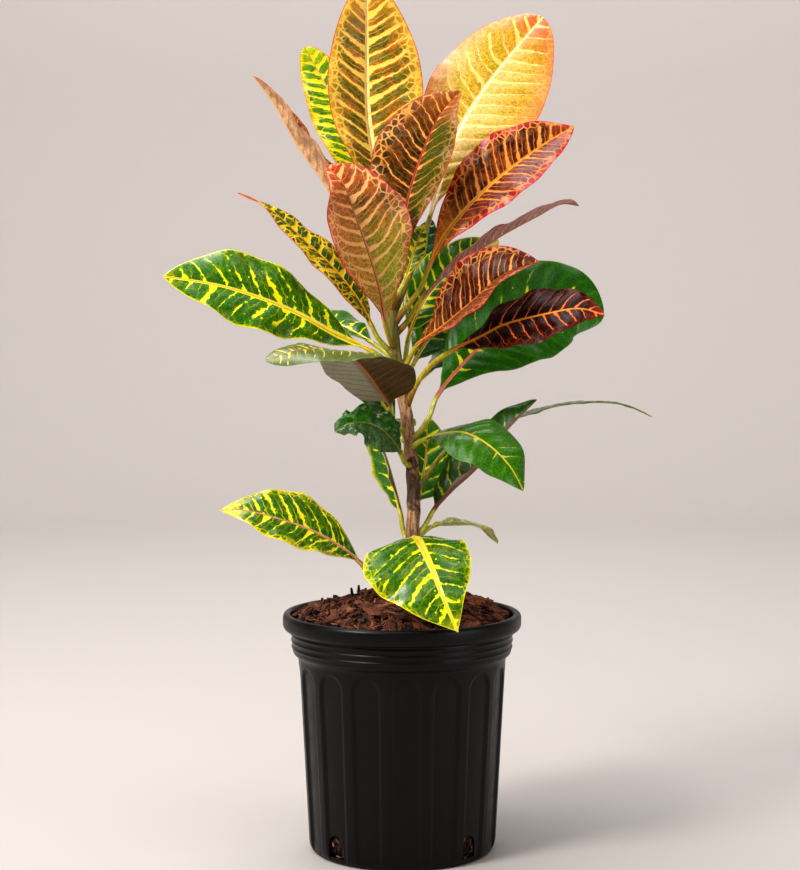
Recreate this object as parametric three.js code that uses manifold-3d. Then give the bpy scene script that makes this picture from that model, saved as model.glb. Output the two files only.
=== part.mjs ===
// A croton in a ribbed nursery pot: the pot, its bark mix, one woody trunk and the leaves.
// Millimetres, +Z up. The origin is the middle of the pot's flat underside, and -Y is the front.

import * as THREE from 'three';
import { mergeVertices } from 'three/addons/utils/BufferGeometryUtils.js';
import Module from 'manifold-3d';

const wasm = await Module();
wasm.setup();

// ---- Driving dimensions ----

const CLEARANCE = 0.3; // left between pieces that touch

const POT_HEIGHT = 165;
const LIP_RADIUS = 82.5;
const LIP_INNER_RADIUS = 77;
const LIP_DROP = 12; // how far the rolled lip reaches down outside
const LIP_ROUND = [2, 2.5, 3.5]; // its rounded edges: inwards, up from below and down from above
const LIP_INNER_ROUND = [1, 1.5]; // and its inner edge: outwards and down
const LIP_INNER_DROP = 18; // how far down inside the lip narrows to the collar
const COLLAR_RADIUS = 75.6; // the plain band under the lip
const COLLAR_BOTTOM = 137;
const COLLAR_EDGE = [0.6, 2]; // the band's rounded lower edge: inwards and up
const COLLAR_TAPER = 1; // the band widens by this much up to the lip
const COLLAR_BEADS = [141.8, 146.2, 150.6]; // heights of its three soft beads
const COLLAR_BEAD = 0.6; // how far a bead stands out
const COLLAR_BEAD_HALF = 1.6; // half a bead's height
const BODY_TOP_RADIUS = 71.8;
const BODY_TOP = 133;
const BODY_BOTTOM_RADIUS = 65.4;
const FOOT_RADIUS = 60.5; // the flat underside
const FOOT_ROUND = 9; // height of the rounded bottom corner
const FOOT_CORNER = [3.5, 2.2]; // a point of that corner: outwards and up
const WALL = 3.2;
const FLOOR = 3;
const POT_SIDES = 48;

const FLUTE_COUNT = 16;
const FLUTE_TURN = 2.5; // degrees, from the front towards +X
const FLUTE_BOTTOM = -1; // just under the pot, so that a flute runs out at the foot
const FLUTE_TOP = 131;
const FLUTE_TOP_WIDTH = 21.5;
const FLUTE_BOTTOM_WIDTH = 19;
const FLUTE_DEPTH = 1.7;
const ARCH_STEPS = 4;
const CUTTER_DEPTH = 20; // outwards, well past the pot's wall

const DRAIN_ANGLES = [-136, -44, 44, 136]; // degrees, from the front towards +X
const DRAIN_WIDTH = 13;
const DRAIN_BOTTOM = 4.5;
const DRAIN_TOP = 20;
const DRAIN_RADIUS = FOOT_RADIUS - 8; // the holes reach in to here

const SOIL_EDGE = 161; // the bark's height at the pot's wall
const SOIL_CROWN = 172; // and at the middle
const SOIL_GAP = CLEARANCE + 0.2; // left inside the pot's faceted wall
const SOIL_RING_RADII = [64, 48, 32, 16]; // where its top is bent up and down
const SOIL_DOME = 3.5; // how flat the middle stays: a power of the distance from it
const SOIL_LUMPS = [1.6, 1.1]; // heights of its two sets of lumps
const SOIL_MOUND = { x: 46, y: 15, halfWidth: 18, halfDepth: 22, height: 4 }; // on the right
const CHIP_COUNT = 38;
const CHIP_SPREAD = 66; // chips lie within this radius
const CHIP_LIFT = 0.8; // how far a chip's middle lies above the bark
const CHIP_TILT = [20, 28]; // degrees, across and along a chip
const CHIP_SEED = 11;
const SUNFLOWER_TURN = 137.5; // degrees from one chip to the next
const CHIP_LENGTH = [8, 17];
const CHIP_WIDTH = [4, 7];
const CHIP_THICKNESS = [3, 4.5];

// The trunk's axis, from its end in the bark to its growing tip, with its radius at each point.
const TRUNK_POINTS = [
  [6, 0, 128, 5.2],
  [6, 0, 170, 5.2],
  [6.5, 0, 205, 4.8],
  [8, 0, 243, 4.5],
  [6, 0, 275, 4.3],
  [2, 0, 308, 4.2],
  [-4, 0, 342, 3.8],
  [-6, 0, 366, 3.4],
  [-5, 0, 385, 2],
];
const TRUNK_SIDES = 9;
const TRUNK_RINGS = 22;
const LEAF_SCAR = 0.45; // how far the old leaf scars swell
const LEAF_SCAR_SPACING = 17;

const BLADE_THICKNESS = 0.8;
const MIDRIB_DEPTH = 1.1; // the rib under the blade, where it meets the stalk
const STALK_RADIUS = 1.7;
const STALK_FOOT_RADIUS = 2.4; // swollen where it joins the trunk
const BLADE_STEPS = 9;
const STALK_STEPS = 3;
const BLADE_COLUMNS = 4; // two each side of the midrib
const TIP_HALF_WIDTH = 0.7;
const FLATTENING = 0.09; // the share of the blade in which the round stalk turns flat
const STALK_FOOT = 0.6; // and of the stalk in which its swollen foot narrows
const MARGIN_LAG = 2.2; // radians that one margin's waves lie behind the other's
const CURVE_STEPS = 20; // between two points of a centre line, for measuring it

// ---- The leaves ----
// from: height on the trunk's axis where the stalk starts.
// stalk, midrib: points that the leaf's one smooth centre line runs through.
// face: which way the upper side looks, at the blade's base and at its tip.
// width: the left and right half, at their widest, seen from above with the tip up.
// fold: how far each half rises from flat at the midrib, and bend: how far it then turns down.
// widest: where along the blade, and taper: how pointed its end is, from 0.4, blunt, to 1.
// wave, waves: the margin's swing and its number. tail: the share of the blade that is a thin tip.

const LEAVES = [
  {
    name: 'leaf_top_gold', color: 0xc98f2b, from: 376,
    stalk: [[-8, 6, 402]],
    midrib: [[-12, 15, 436], [-18, 27, 471], [-24, 40, 510], [-25, 50, 556], [-25, 52, 604]],
    face: [[0.1, -1, 0.1], [0, -1, 0.35]],
    width: [31, 40], fold: [34, 8], bend: 14, widest: 0.56, taper: 0.52, wave: 1.6, waves: 4,
  },
  {
    name: 'leaf_back_lime', color: 0x9aa52a, from: 352,
    stalk: [[-10, 10, 366], [-12, 28, 400]],
    midrib: [[-19, 45, 434], [-33, 67, 481], [-49, 84, 523], [-61, 92, 547], [-71, 94, 565]],
    face: [[0.2, -1, 0.2], [0.2, -1, 0.3]],
    width: [21, 22], fold: [12, 12], bend: 15, widest: 0.6, taper: 0.55, wave: 1.4, waves: 3,
  },
  {
    name: 'leaf_centre_maroon', color: 0x6b3a1d, from: 372,
    stalk: [[-5, -8, 388]],
    midrib: [[-1, -11, 406], [2, -8, 438], [11, 0, 472], [26, 12, 507], [40, 16, 524]],
    face: [[0, -1, 0.1], [-0.1, -1, 0.3]],
    width: [33, 29], fold: [8, 48], bend: 14, widest: 0.56, taper: 0.78, wave: 1.2, waves: 4,
  },
  {
    name: 'leaf_right_gold', color: 0xd6a637, from: 370,
    stalk: [[4, 13, 394]],
    midrib: [[20, 28, 440], [34, 48, 488], [55, 68, 526], [78, 80, 557], [102, 84, 585]],
    face: [[-0.1, -1, 0.2], [-0.1, -1, 0.35]],
    width: [38, 45], fold: [10, 10], bend: 18, widest: 0.6, taper: 0.56, wave: 1.8, waves: 4,
  },
  {
    name: 'leaf_right_red', color: 0x8c3424, from: 363,
    stalk: [[5, -3, 378], [13, 1, 389]],
    midrib: [[18, 2, 402], [29, 0, 423], [43, -1, 441], [67, 0, 464], [98, 4, 487], [118, 10, 499]],
    face: [[-0.1, -1, 0.35], [0, -1, 0.45]],
    width: [28, 27], fold: [12, 38], bend: 16, widest: 0.6, taper: 0.8, wave: 1.8, waves: 5,
  },
  {
    name: 'leaf_centre_pink', color: 0x9c4538, from: 346,
    stalk: [[-9, -8, 355]],
    midrib: [
      [-12, -13, 366], [-16, -21, 388], [-23, -29, 412], [-32, -35, 437], [-39, -38, 456],
      [-51, -38, 469],
    ],
    face: [[0.1, -1, 0.25], [0.1, -1, 0.3]],
    width: [33, 36], fold: [50, 6], bend: 14, widest: 0.57, taper: 0.88, wave: 1.3, waves: 4,
  },
  {
    name: 'leaf_left_rose', color: 0xa06a52, from: 366,
    stalk: [[-12, 3, 384]],
    midrib: [
      [-17, 6, 406], [-35, 9, 432], [-56, 13, 464], [-73, 17, 488], [-89, 20, 516], [-103, 21, 535],
    ],
    face: [[0.8, 0, 0.6], [0.75, -0.05, 0.65]],
    width: [24, 24], fold: [38, 38], bend: 20, widest: 0.5, wave: 1.2, waves: 4,
  },
  {
    name: 'leaf_left_narrow', color: 0x4c5a24, from: 340,
    stalk: [[-11, -2, 348], [-17, -4, 355]],
    midrib: [
      [-21, -5, 363], [-30, -7, 380], [-48, -8, 403], [-66, -8, 420], [-82, -7, 435], [-96, -6, 446],
      [-112, -4, 453],
    ],
    face: [[0.5, -0.6, 0.6], [0.5, -0.6, 0.65]],
    width: [15, 15], fold: [14, 14], bend: 14, widest: 0.42, wave: 1.2, waves: 4, tail: 0.12,
  },
  {
    name: 'leaf_left_green', color: 0x2f5526, from: 328,
    stalk: [[-10, -4, 338]],
    midrib: [
      [-20, -6, 345], [-46, -14, 357], [-69, -24, 370], [-92, -36, 380], [-120, -48, 389],
      [-156, -60, 395],
    ],
    face: [[0.2, -0.8, 0.6], [0, -0.8, 0.6]],
    width: [27, 33], fold: [10, 14], bend: 22, widest: 0.6, taper: 0.84, wave: 2.2, waves: 4,
  },
  {
    name: 'leaf_arched_brown', color: 0x4a3a2b, from: 288,
    stalk: [[-4, -7, 295], [-7, -10, 302]],
    midrib: [
      [-8, -13, 309], [-14, -25, 318], [-24, -44, 333], [-34, -64, 343], [-50, -84, 348],
      [-69, -98, 347], [-86, -106, 341],
    ],
    face: [[0.1, 0.66, 0.66], [-0.1, -0.6, 0.8]],
    width: [36, 26], fold: [4, 4], bend: 18, widest: 0.38, taper: 0.6, wave: 1.2, waves: 4,
  },
  {
    name: 'leaf_torn_dark', color: 0x2c4130, from: 266,
    stalk: [[2, -9, 269]],
    midrib: [
      [-1, -13, 276], [-8, -20, 287], [-16, -26, 294], [-27, -31, 298], [-37, -34, 297],
      [-45, -36, 292],
    ],
    face: [[0, -0.8, 0.6], [-0.2, -0.7, 0.7]],
    width: [19, 19], fold: [10, 16], bend: 30, widest: 0.5, wave: 2.6, waves: 3,
  },
  {
    name: 'leaf_under_left', color: 0x3b4a33, from: 280,
    stalk: [[-1, 6, 286]],
    midrib: [[-5, 9, 293], [-14, 12, 309], [-28, 15, 325], [-46, 18, 340]],
    face: [[0.4, -0.8, 0.5], [0.2, -0.8, 0.6]],
    width: [13, 14], fold: [8, 8], bend: 14, widest: 0.5, wave: 1, waves: 3,
  },
  {
    name: 'leaf_left_upright', color: 0x56692f, from: 208,
    stalk: [[1, 6, 220]],
    midrib: [[-1, 9, 232], [-5, 13, 249], [-11, 17, 270], [-17, 20, 287], [-24, 21, 303]],
    face: [[-0.85, -0.3, 0.3], [-0.85, -0.3, 0.3]],
    width: [17, 17], fold: [24, 36], bend: 12, widest: 0.5, wave: 1, waves: 3,
  },
  {
    name: 'leaf_maroon_right', color: 0x40161a, from: 305,
    stalk: [[9, -8, 321], [17, -11, 333], [27, -14, 342]],
    midrib: [
      [36, -16, 347], [53, -24, 355], [68, -32, 363], [98, -44, 371], [117, -50, 374], [133, -54, 370],
    ],
    face: [[-0.15, -0.7, 0.7], [0, -0.7, 0.7]],
    width: [25, 25], fold: [10, 10], bend: 18, widest: 0.55, taper: 0.8, wave: 1.4, waves: 4,
  },
  {
    name: 'leaf_right_green', color: 0x2c5a2c, from: 283,
    stalk: [[13, -5, 291], [19, -4, 301]],
    midrib: [[24, -1, 314], [40, 6, 334], [59, 14, 352], [89, 26, 371], [119, 36, 377], [143, 42, 369]],
    face: [[-0.2, -0.95, 0.35], [0, -0.95, 0.4]],
    width: [42, 36], fold: [8, 8], bend: 18, widest: 0.58, taper: 0.6, wave: 2, waves: 4,
  },
  {
    name: 'leaf_red_brown', color: 0x70311f, from: 328,
    stalk: [[4, -9, 338]],
    midrib: [[10, -15, 349], [26, -24, 361], [46, -34, 378], [68, -44, 397], [90, -50, 405]],
    face: [[-0.2, -0.9, 0.45], [0, -0.9, 0.5]],
    width: [30, 26], fold: [4, 58], bend: 14, widest: 0.55, taper: 0.78, wave: 1.5, waves: 4,
  },
  {
    name: 'leaf_mid_green', color: 0x4c6b25, from: 322,
    stalk: [[2, 9, 338]],
    midrib: [[5, 13, 356], [13, 17, 375], [26, 24, 393], [44, 34, 409], [68, 44, 423]],
    face: [[-0.1, -0.95, 0.35], [0, -0.9, 0.45]],
    width: [20, 22], fold: [10, 12], bend: 16, widest: 0.5, wave: 1.5, waves: 4,
  },
  {
    name: 'leaf_right_rose', color: 0x8a5244, from: 355,
    stalk: [[4, 2, 366]],
    midrib: [[15, 5, 383], [41, 8, 407], [67, 10, 424], [93, 16, 438], [111, 22, 447], [123, 26, 446]],
    face: [[-0.5, 0.1, 0.85], [-0.25, 0, 0.95]],
    width: [18, 18], fold: [24, 24], bend: 14, widest: 0.52, wave: 1.1, waves: 4,
  },
  {
    name: 'leaf_back_teal', color: 0x2f5a4a, from: 362,
    stalk: [[-1, 12, 371]],
    midrib: [[1, 35, 389], [8, 44, 404], [15, 51, 421], [21, 55, 438]],
    face: [[0, -1, 0.3], [0, -1, 0.4]],
    width: [13, 13], fold: [10, 10], bend: 12, widest: 0.5, wave: 0.8, waves: 3,
  },
  {
    name: 'leaf_young_centre', color: 0x93922c, from: 380,
    stalk: [[0, -1, 389]],
    midrib: [[3, 1, 396], [6, 3, 406], [10, 6, 418], [15, 9, 432]],
    face: [[-0.2, -1, 0.2], [-0.2, -1, 0.3]],
    width: [9, 9], fold: [22, 22], bend: 8, widest: 0.5, wave: 0.5, waves: 3,
  },
  {
    name: 'leaf_back_green', color: 0x27492a, from: 318,
    stalk: [[4, 10, 328]],
    midrib: [[9, 18, 338], [18, 27, 352], [31, 36, 368], [50, 44, 386]],
    face: [[-0.1, -0.95, 0.3], [0, -0.9, 0.4]],
    width: [17, 17], fold: [10, 10], bend: 14, widest: 0.5, wave: 1, waves: 3,
  },
  {
    name: 'leaf_front_droop', color: 0x3c6a2d, from: 278,
    stalk: [[11, -8, 283]],
    midrib: [
      [17, -14, 286], [28, -25, 290], [42, -37, 291], [58, -47, 283], [71, -53, 270], [80, -55, 254],
    ],
    face: [[0, -0.45, 0.9], [0.55, -0.75, 0.4]],
    width: [27, 25], fold: [6, 6], bend: 22, widest: 0.5, taper: 0.85, wave: 1.6, waves: 3,
  },
  {
    name: 'leaf_right_low', color: 0x36552c, from: 214,
    stalk: [[13, 0, 221], [18, 4, 228]],
    midrib: [[22, 7, 235], [34, 10, 248], [52, 13, 264], [73, 16, 290], [94, 18, 311]],
    face: [[-0.55, -0.65, 0.5], [-0.5, -0.7, 0.5]],
    width: [24, 20], fold: [10, 62], bend: 12, widest: 0.42, wave: 1.4, waves: 4,
  },
  {
    name: 'leaf_edge_line', color: 0x5d6b4b, from: 246,
    stalk: [[16, 12, 256], [28, 24, 272]],
    midrib: [
      [50, 36, 288], [80, 42, 297], [112, 44, 306], [145, 42, 308], [162, 40, 305], [177, 38, 298],
    ],
    face: [[-0.1, 0.02, 1], [0.15, 0.02, 1]],
    width: [17, 17], fold: [5, 5], bend: 8, widest: 0.42, wave: 0.8, waves: 4, tail: 0.16,
  },
  {
    name: 'leaf_behind_trunk', color: 0x5c8f35, from: 226,
    stalk: [[8, 13, 231]],
    midrib: [[11, 24, 239], [14, 33, 252], [17, 38, 270], [18, 41, 298]],
    face: [[-0.1, -1, 0.2], [-0.1, -0.95, 0.35]],
    width: [11, 21], fold: [8, 8], bend: 12, widest: 0.42, wave: 1.2, waves: 3,
  },
  {
    name: 'leaf_front_low', color: 0x4f8a2c, from: 207,
    stalk: [[7, -10, 214]],
    midrib: [
      [8, -22, 219], [11, -40, 219], [15, -57, 213], [21, -72, 201], [27, -83, 186], [36, -91, 166],
    ],
    face: [[0, -0.25, 1], [-0.1, -0.95, 0.2]],
    width: [29, 43], fold: [6, 2], bend: 18, widest: 0.4, taper: 1, wave: 2, waves: 4,
  },
  {
    name: 'leaf_left_low', color: 0x3a6628, from: 150,
    stalk: [[-2, -9, 170], [-11, -11, 178], [-21, -12, 190]],
    midrib: [
      [-28, -13, 200], [-42, -17, 212], [-62, -22, 224], [-86, -27, 233], [-106, -28, 238],
      [-123, -27, 238],
    ],
    face: [[0.3, -0.65, 0.7], [0, -0.65, 0.75]],
    width: [19, 29], fold: [8, 10], bend: 20, widest: 0.52, taper: 1, wave: 1.1, waves: 4,
  },
  {
    name: 'leaf_right_small', color: 0x6d7f3a, from: 204,
    stalk: [[12, 9, 215]],
    midrib: [[20, 16, 222], [41, 30, 224], [59, 45, 218], [69, 53, 206]],
    face: [[0.1, -0.02, 1], [0.5, 0.2, 0.8]],
    width: [15, 15], fold: [5, 5], bend: 12, widest: 0.5, taper: 0.8, wave: 0.8, waves: 3,
  },
  {
    name: 'leaf_rear_high', color: 0x6f4a25, from: 344,
    stalk: [[-5, 13, 358]],
    midrib: [[-5, 30, 380], [-4, 54, 404], [-2, 80, 424], [2, 104, 434], [4, 124, 434]],
    face: [[0, -0.75, 0.7], [0, -0.1, 1]],
    width: [25, 25], fold: [12, 12], bend: 16, widest: 0.5, wave: 1.4, waves: 4,
  },
  {
    name: 'leaf_rear_left', color: 0x36592a, from: 336,
    stalk: [[-9, 10, 342]],
    midrib: [[-20, 24, 350], [-42, 44, 362], [-66, 66, 370], [-88, 85, 372], [-104, 98, 366]],
    face: [[0.25, -0.3, 0.9], [-0.3, 0.1, 1]],
    width: [26, 26], fold: [12, 12], bend: 18, widest: 0.5, wave: 1.6, waves: 4,
  },
  {
    name: 'leaf_rear_right', color: 0x2f5230, from: 312,
    stalk: [[7, 11, 320]],
    midrib: [[18, 24, 330], [37, 45, 343], [60, 70, 351], [82, 92, 350], [98, 108, 343]],
    face: [[-0.2, -0.25, 0.95], [0.2, 0.2, 1]],
    width: [27, 27], fold: [10, 10], bend: 18, widest: 0.5, wave: 1.6, waves: 4,
  },
  {
    name: 'leaf_rear_middle', color: 0x34602c, from: 262,
    stalk: [[2, 12, 270]],
    midrib: [[-3, 26, 279], [-9, 50, 289], [-15, 76, 293], [-20, 100, 289], [-24, 116, 280]],
    face: [[0, -0.3, 1], [0, 0.4, 0.9]],
    width: [24, 24], fold: [10, 10], bend: 16, widest: 0.5, wave: 1.4, waves: 4,
  },
  {
    name: 'leaf_rear_low', color: 0x3b6a2c, from: 180,
    stalk: [[3, 10, 184]],
    midrib: [[4, 26, 188], [7, 50, 191], [10, 74, 191], [12, 96, 187], [13, 114, 180]],
    face: [[0, -0.25, 0.95], [0.1, 0.3, 0.9]],
    width: [22, 22], fold: [10, 10], bend: 16, widest: 0.5, wave: 1.4, waves: 4,
  },
];

// ---- Small helpers ----

const radians = THREE.MathUtils.degToRad;
const smoothstep = THREE.MathUtils.smoothstep;
const lerp = THREE.MathUtils.lerp;

function vector(point) {
  return new THREE.Vector3(point[0], point[1], point[2]);
}

// A point at an angle from the front (-Y), turning towards +X.
function around(degrees, radius, z) {
  return new THREE.Vector3(radius * Math.sin(radians(degrees)), -radius * Math.cos(radians(degrees)), z);
}

// Random numbers that are the same each time.
function seededRandom(seed) {
  let state = seed;
  return () => {
    state = (Math.imul(state, 1664525) + 1013904223) >>> 0;
    return state / 4294967296;
  };
}

function toSolid(geometry) {
  const bare = new THREE.BufferGeometry();
  bare.setAttribute('position', geometry.attributes.position);
  bare.setIndex(geometry.index);
  const merged = mergeVertices(bare, 1e-4);
  return new wasm.Manifold(new wasm.Mesh({
    numProp: 3,
    vertProperties: new Float32Array(merged.attributes.position.array),
    triVerts: new Uint32Array(merged.index.array),
  }));
}

function toGeometry(solid) {
  const mesh = solid.getMesh();
  const geometry = new THREE.BufferGeometry();
  geometry.setAttribute('position', new THREE.BufferAttribute(new Float32Array(mesh.vertProperties), 3));
  geometry.setIndex(new THREE.BufferAttribute(new Uint32Array(mesh.triVerts), 1));
  return geometry;
}

// The largest body of a solid, without the scraps that a cut leaves.
function largestBody(solid) {
  const bodies = solid.decompose();
  return bodies.reduce((best, body) => (body.volume() > best.volume() ? body : best));
}

// Rings of equal length, joined into one closed skin. On a flat ring, the quads of the two faces
// are split alike, so that the faces never cross.
function loft(rings) {
  const size = rings[0].length;
  const positions = rings.flat().flatMap((point) => [point.x, point.y, point.z]);
  const index = [];
  for (let j = 0; j < rings.length - 1; j += 1) {
    for (let k = 0; k < size; k += 1) {
      const a = j * size + k;
      const b = j * size + ((k + 1) % size);
      const c = b + size;
      const d = a + size;
      if (k < size / 2) {
        index.push(a, b, c, a, c, d);
      } else {
        index.push(a, b, d, b, c, d);
      }
    }
  }
  const last = (rings.length - 1) * size;
  for (let k = 1; k < size / 2; k += 1) {
    // Each end is closed in strips across it, from one face to the other.
    const mirror = size - 1 - k;
    index.push(k - 1, mirror + 1, k, mirror + 1, mirror, k);
    index.push(last + k - 1, last + k, last + mirror + 1, last + mirror + 1, last + k, last + mirror);
  }
  const geometry = new THREE.BufferGeometry();
  geometry.setAttribute('position', new THREE.Float32BufferAttribute(positions, 3));
  geometry.setIndex(index);
  return geometry;
}

function piece(name, geometry, color, roughness) {
  const mesh = new THREE.Mesh(geometry, new THREE.MeshStandardMaterial({ color, roughness, metalness: 0 }));
  mesh.name = name;
  return mesh;
}

// ---- The trunk ----

const trunkAxis = new THREE.CatmullRomCurve3(TRUNK_POINTS.map(vector), false, 'centripetal');

// The trunk's axis and radius at a height, for what grows from it.
function trunkAt(z) {
  const last = TRUNK_POINTS.length - 1;
  const above = TRUNK_POINTS.findIndex((point) => point[2] > z);
  const k = above < 0 ? last : Math.max(above, 1);
  const [low, high] = [TRUNK_POINTS[k - 1], TRUNK_POINTS[k]];
  const f = THREE.MathUtils.clamp((z - low[2]) / (high[2] - low[2]), 0, 1);
  return { centre: trunkAxis.getPoint((k - 1 + f) / last), radius: lerp(low[3], high[3], f) };
}

function trunkGeometry(extraRadius = 0) {
  const bottom = TRUNK_POINTS[0][2];
  const top = TRUNK_POINTS[TRUNK_POINTS.length - 1][2];
  const rings = [];
  for (let j = 0; j <= TRUNK_RINGS; j += 1) {
    const z = lerp(bottom, top, j / TRUNK_RINGS);
    const { centre, radius } = trunkAt(z);
    const ring = [];
    for (let k = 0; k < TRUNK_SIDES * 2; k += 2) {
      const angle = 180 - (k * 180) / TRUNK_SIDES;
      // Old leaf scars climb round the trunk.
      const scar = Math.max(0, Math.sin((z / LEAF_SCAR_SPACING) * 2 * Math.PI + radians(angle)));
      const r = radius + LEAF_SCAR * scar * (radius / TRUNK_POINTS[0][3]) + extraRadius;
      ring.push(new THREE.Vector3(
        centre.x + r * Math.cos(radians(angle)),
        centre.y - r * Math.sin(radians(angle)),
        z,
      ));
    }
    rings.push(ring);
  }
  return loft(rings);
}

// ---- A leaf ----

// A half's width at a share f of the blade: narrow at its base, fuller towards the tip, drawn out
// into a tail where the leaf has one.
function halfWidth(leaf, half, f) {
  const tail = leaf.tail ?? 0;
  const t = Math.min(f / (1 - tail), 1);
  const swell = Math.sin(Math.PI * t ** (Math.log(0.5) / Math.log(leaf.widest)));
  const blade = half * Math.max(swell, 0) ** lerp(1.05, leaf.taper ?? 0.66, t);
  return Math.max(blade, lerp(TIP_HALF_WIDTH * 3, TIP_HALF_WIDTH, f));
}

// One ring of the leaf: the upper face from the left margin to the right one, then the lower face
// back. A stalk's ring is round, and it flattens into the blade's.
function leafRing(leaf, station) {
  const { centre, along, face, f, stalkRadius, flatness } = station;
  const up = face.clone().addScaledVector(along, -face.dot(along)).normalize();
  const side = new THREE.Vector3().crossVectors(along, up);
  const upper = [];
  const lower = [];
  for (let i = 0; i <= BLADE_COLUMNS; i += 1) {
    const s = (i / BLADE_COLUMNS) * 2 - 1;
    const hand = s < 0 ? -1 : 1;
    const right = s < 0 ? 0 : 1;
    const reach = Math.abs(s);
    const rise = radians(leaf.fold[right]);
    const bend = radians(leaf.bend);
    const width = halfWidth(leaf, leaf.width[right], f);
    const turn = rise - bend * reach;
    const out = (width * (Math.sin(rise) - Math.sin(turn))) / bend;
    const lift = (width * (Math.cos(turn) - Math.cos(rise))) / bend;
    const ripple = leaf.wave * reach ** 2 * Math.sin(Math.PI * f) ** 0.5
      * Math.sin(2 * Math.PI * leaf.waves * f + right * MARGIN_LAG);
    const skin = side.clone().multiplyScalar(-hand * Math.sin(turn)).addScaledVector(up, Math.cos(turn));
    const middle = centre.clone().addScaledVector(side, hand * out).addScaledVector(up, lift + ripple);
    const rib = MIDRIB_DEPTH * (1 - f) * Math.max(0, 1 - 2 * reach);
    const blade = [
      middle.clone().addScaledVector(skin, BLADE_THICKNESS / 2),
      middle.clone().addScaledVector(skin, -BLADE_THICKNESS / 2 - rib),
    ];
    const angle = radians(lerp(162, 18, i / BLADE_COLUMNS));
    const round = [1, -1].map((facing) => centre.clone()
      .addScaledVector(side, stalkRadius * Math.cos(angle))
      .addScaledVector(up, facing * stalkRadius * Math.sin(angle)));
    upper.push(round[0].lerp(blade[0], flatness));
    lower.push(round[1].lerp(blade[1], flatness));
  }
  return [...upper, ...lower.reverse()];
}

// The leaf with its stalk, or with a thicker stalk, for the hole that it stands in.
function leafGeometry(leaf, extraRadius = 0) {
  const root = trunkAt(leaf.from).centre;
  const points = [root, ...leaf.stalk.map(vector), ...leaf.midrib.map(vector)];
  const curve = new THREE.CatmullRomCurve3(points, false, 'centripetal');
  curve.arcLengthDivisions = CURVE_STEPS * (points.length - 1);
  const lengths = curve.getLengths();
  const total = lengths[lengths.length - 1];
  const bladeStart = lengths[CURVE_STEPS * (leaf.stalk.length + 1)] / total;
  const faces = leaf.face.map((direction) => vector(direction).normalize());
  const rings = [];
  for (let j = 0; j <= STALK_STEPS + BLADE_STEPS; j += 1) {
    const onStalk = Math.min(j / STALK_STEPS, 1);
    const thin = smoothstep(onStalk, 0, STALK_FOOT);
    const f = Math.max(j - STALK_STEPS, 0) / BLADE_STEPS;
    const u = j <= STALK_STEPS ? bladeStart * onStalk : lerp(bladeStart, 1, f);
    rings.push(leafRing(leaf, {
      centre: curve.getPointAt(u),
      along: curve.getTangentAt(u),
      face: faces[0].clone().lerp(faces[1], f),
      f,
      stalkRadius: lerp(STALK_FOOT_RADIUS, STALK_RADIUS, thin) + extraRadius,
      flatness: smoothstep(f, 0, FLATTENING),
    }));
  }
  return loft(rings);
}

// ---- The pot ----

function bodyRadius(z) {
  return lerp(BODY_BOTTOM_RADIUS, BODY_TOP_RADIUS, (z - FOOT_ROUND) / (BODY_TOP - FOOT_ROUND));
}

function innerRadius(z) {
  return z > COLLAR_BOTTOM ? COLLAR_RADIUS - WALL : bodyRadius(z) - WALL;
}

function potProfile() {
  const lipBottom = POT_HEIGHT - LIP_DROP;
  const collarRadius = (z) => (
    COLLAR_RADIUS + (COLLAR_TAPER * (z - COLLAR_BOTTOM)) / (lipBottom - COLLAR_BOTTOM)
  );
  const beads = COLLAR_BEADS.flatMap((z) => [
    [collarRadius(z - COLLAR_BEAD_HALF), z - COLLAR_BEAD_HALF],
    [collarRadius(z) + COLLAR_BEAD, z],
    [collarRadius(z + COLLAR_BEAD_HALF), z + COLLAR_BEAD_HALF],
  ]);
  return [
    [0, 0],
    [FOOT_RADIUS, 0],
    [FOOT_RADIUS + FOOT_CORNER[0], FOOT_CORNER[1]],
    [bodyRadius(FOOT_ROUND), FOOT_ROUND],
    [BODY_TOP_RADIUS, BODY_TOP],
    [COLLAR_RADIUS - COLLAR_EDGE[0], COLLAR_BOTTOM],
    [collarRadius(COLLAR_BOTTOM + COLLAR_EDGE[1]), COLLAR_BOTTOM + COLLAR_EDGE[1]],
    ...beads,
    [LIP_RADIUS - LIP_ROUND[0], lipBottom],
    [LIP_RADIUS, lipBottom + LIP_ROUND[1]],
    [LIP_RADIUS, POT_HEIGHT - LIP_ROUND[2]],
    [LIP_RADIUS - LIP_ROUND[0], POT_HEIGHT],
    [LIP_INNER_RADIUS + LIP_INNER_ROUND[0], POT_HEIGHT],
    [LIP_INNER_RADIUS, POT_HEIGHT - LIP_INNER_ROUND[1]],
    [COLLAR_RADIUS - WALL, POT_HEIGHT - LIP_INNER_DROP],
    [COLLAR_RADIUS - WALL, COLLAR_BOTTOM],
    [bodyRadius(BODY_TOP - 2) - WALL, BODY_TOP - 2],
    [bodyRadius(FOOT_ROUND) - WALL, FOOT_ROUND],
    [FOOT_RADIUS - 1, FLOOR],
    [0, FLOOR],
  ];
}

function lathe(profile, sides) {
  const points = profile.map(([r, z]) => new THREE.Vector2(r, z));
  return new THREE.LatheGeometry(points, sides).rotateX(Math.PI / 2);
}

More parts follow.
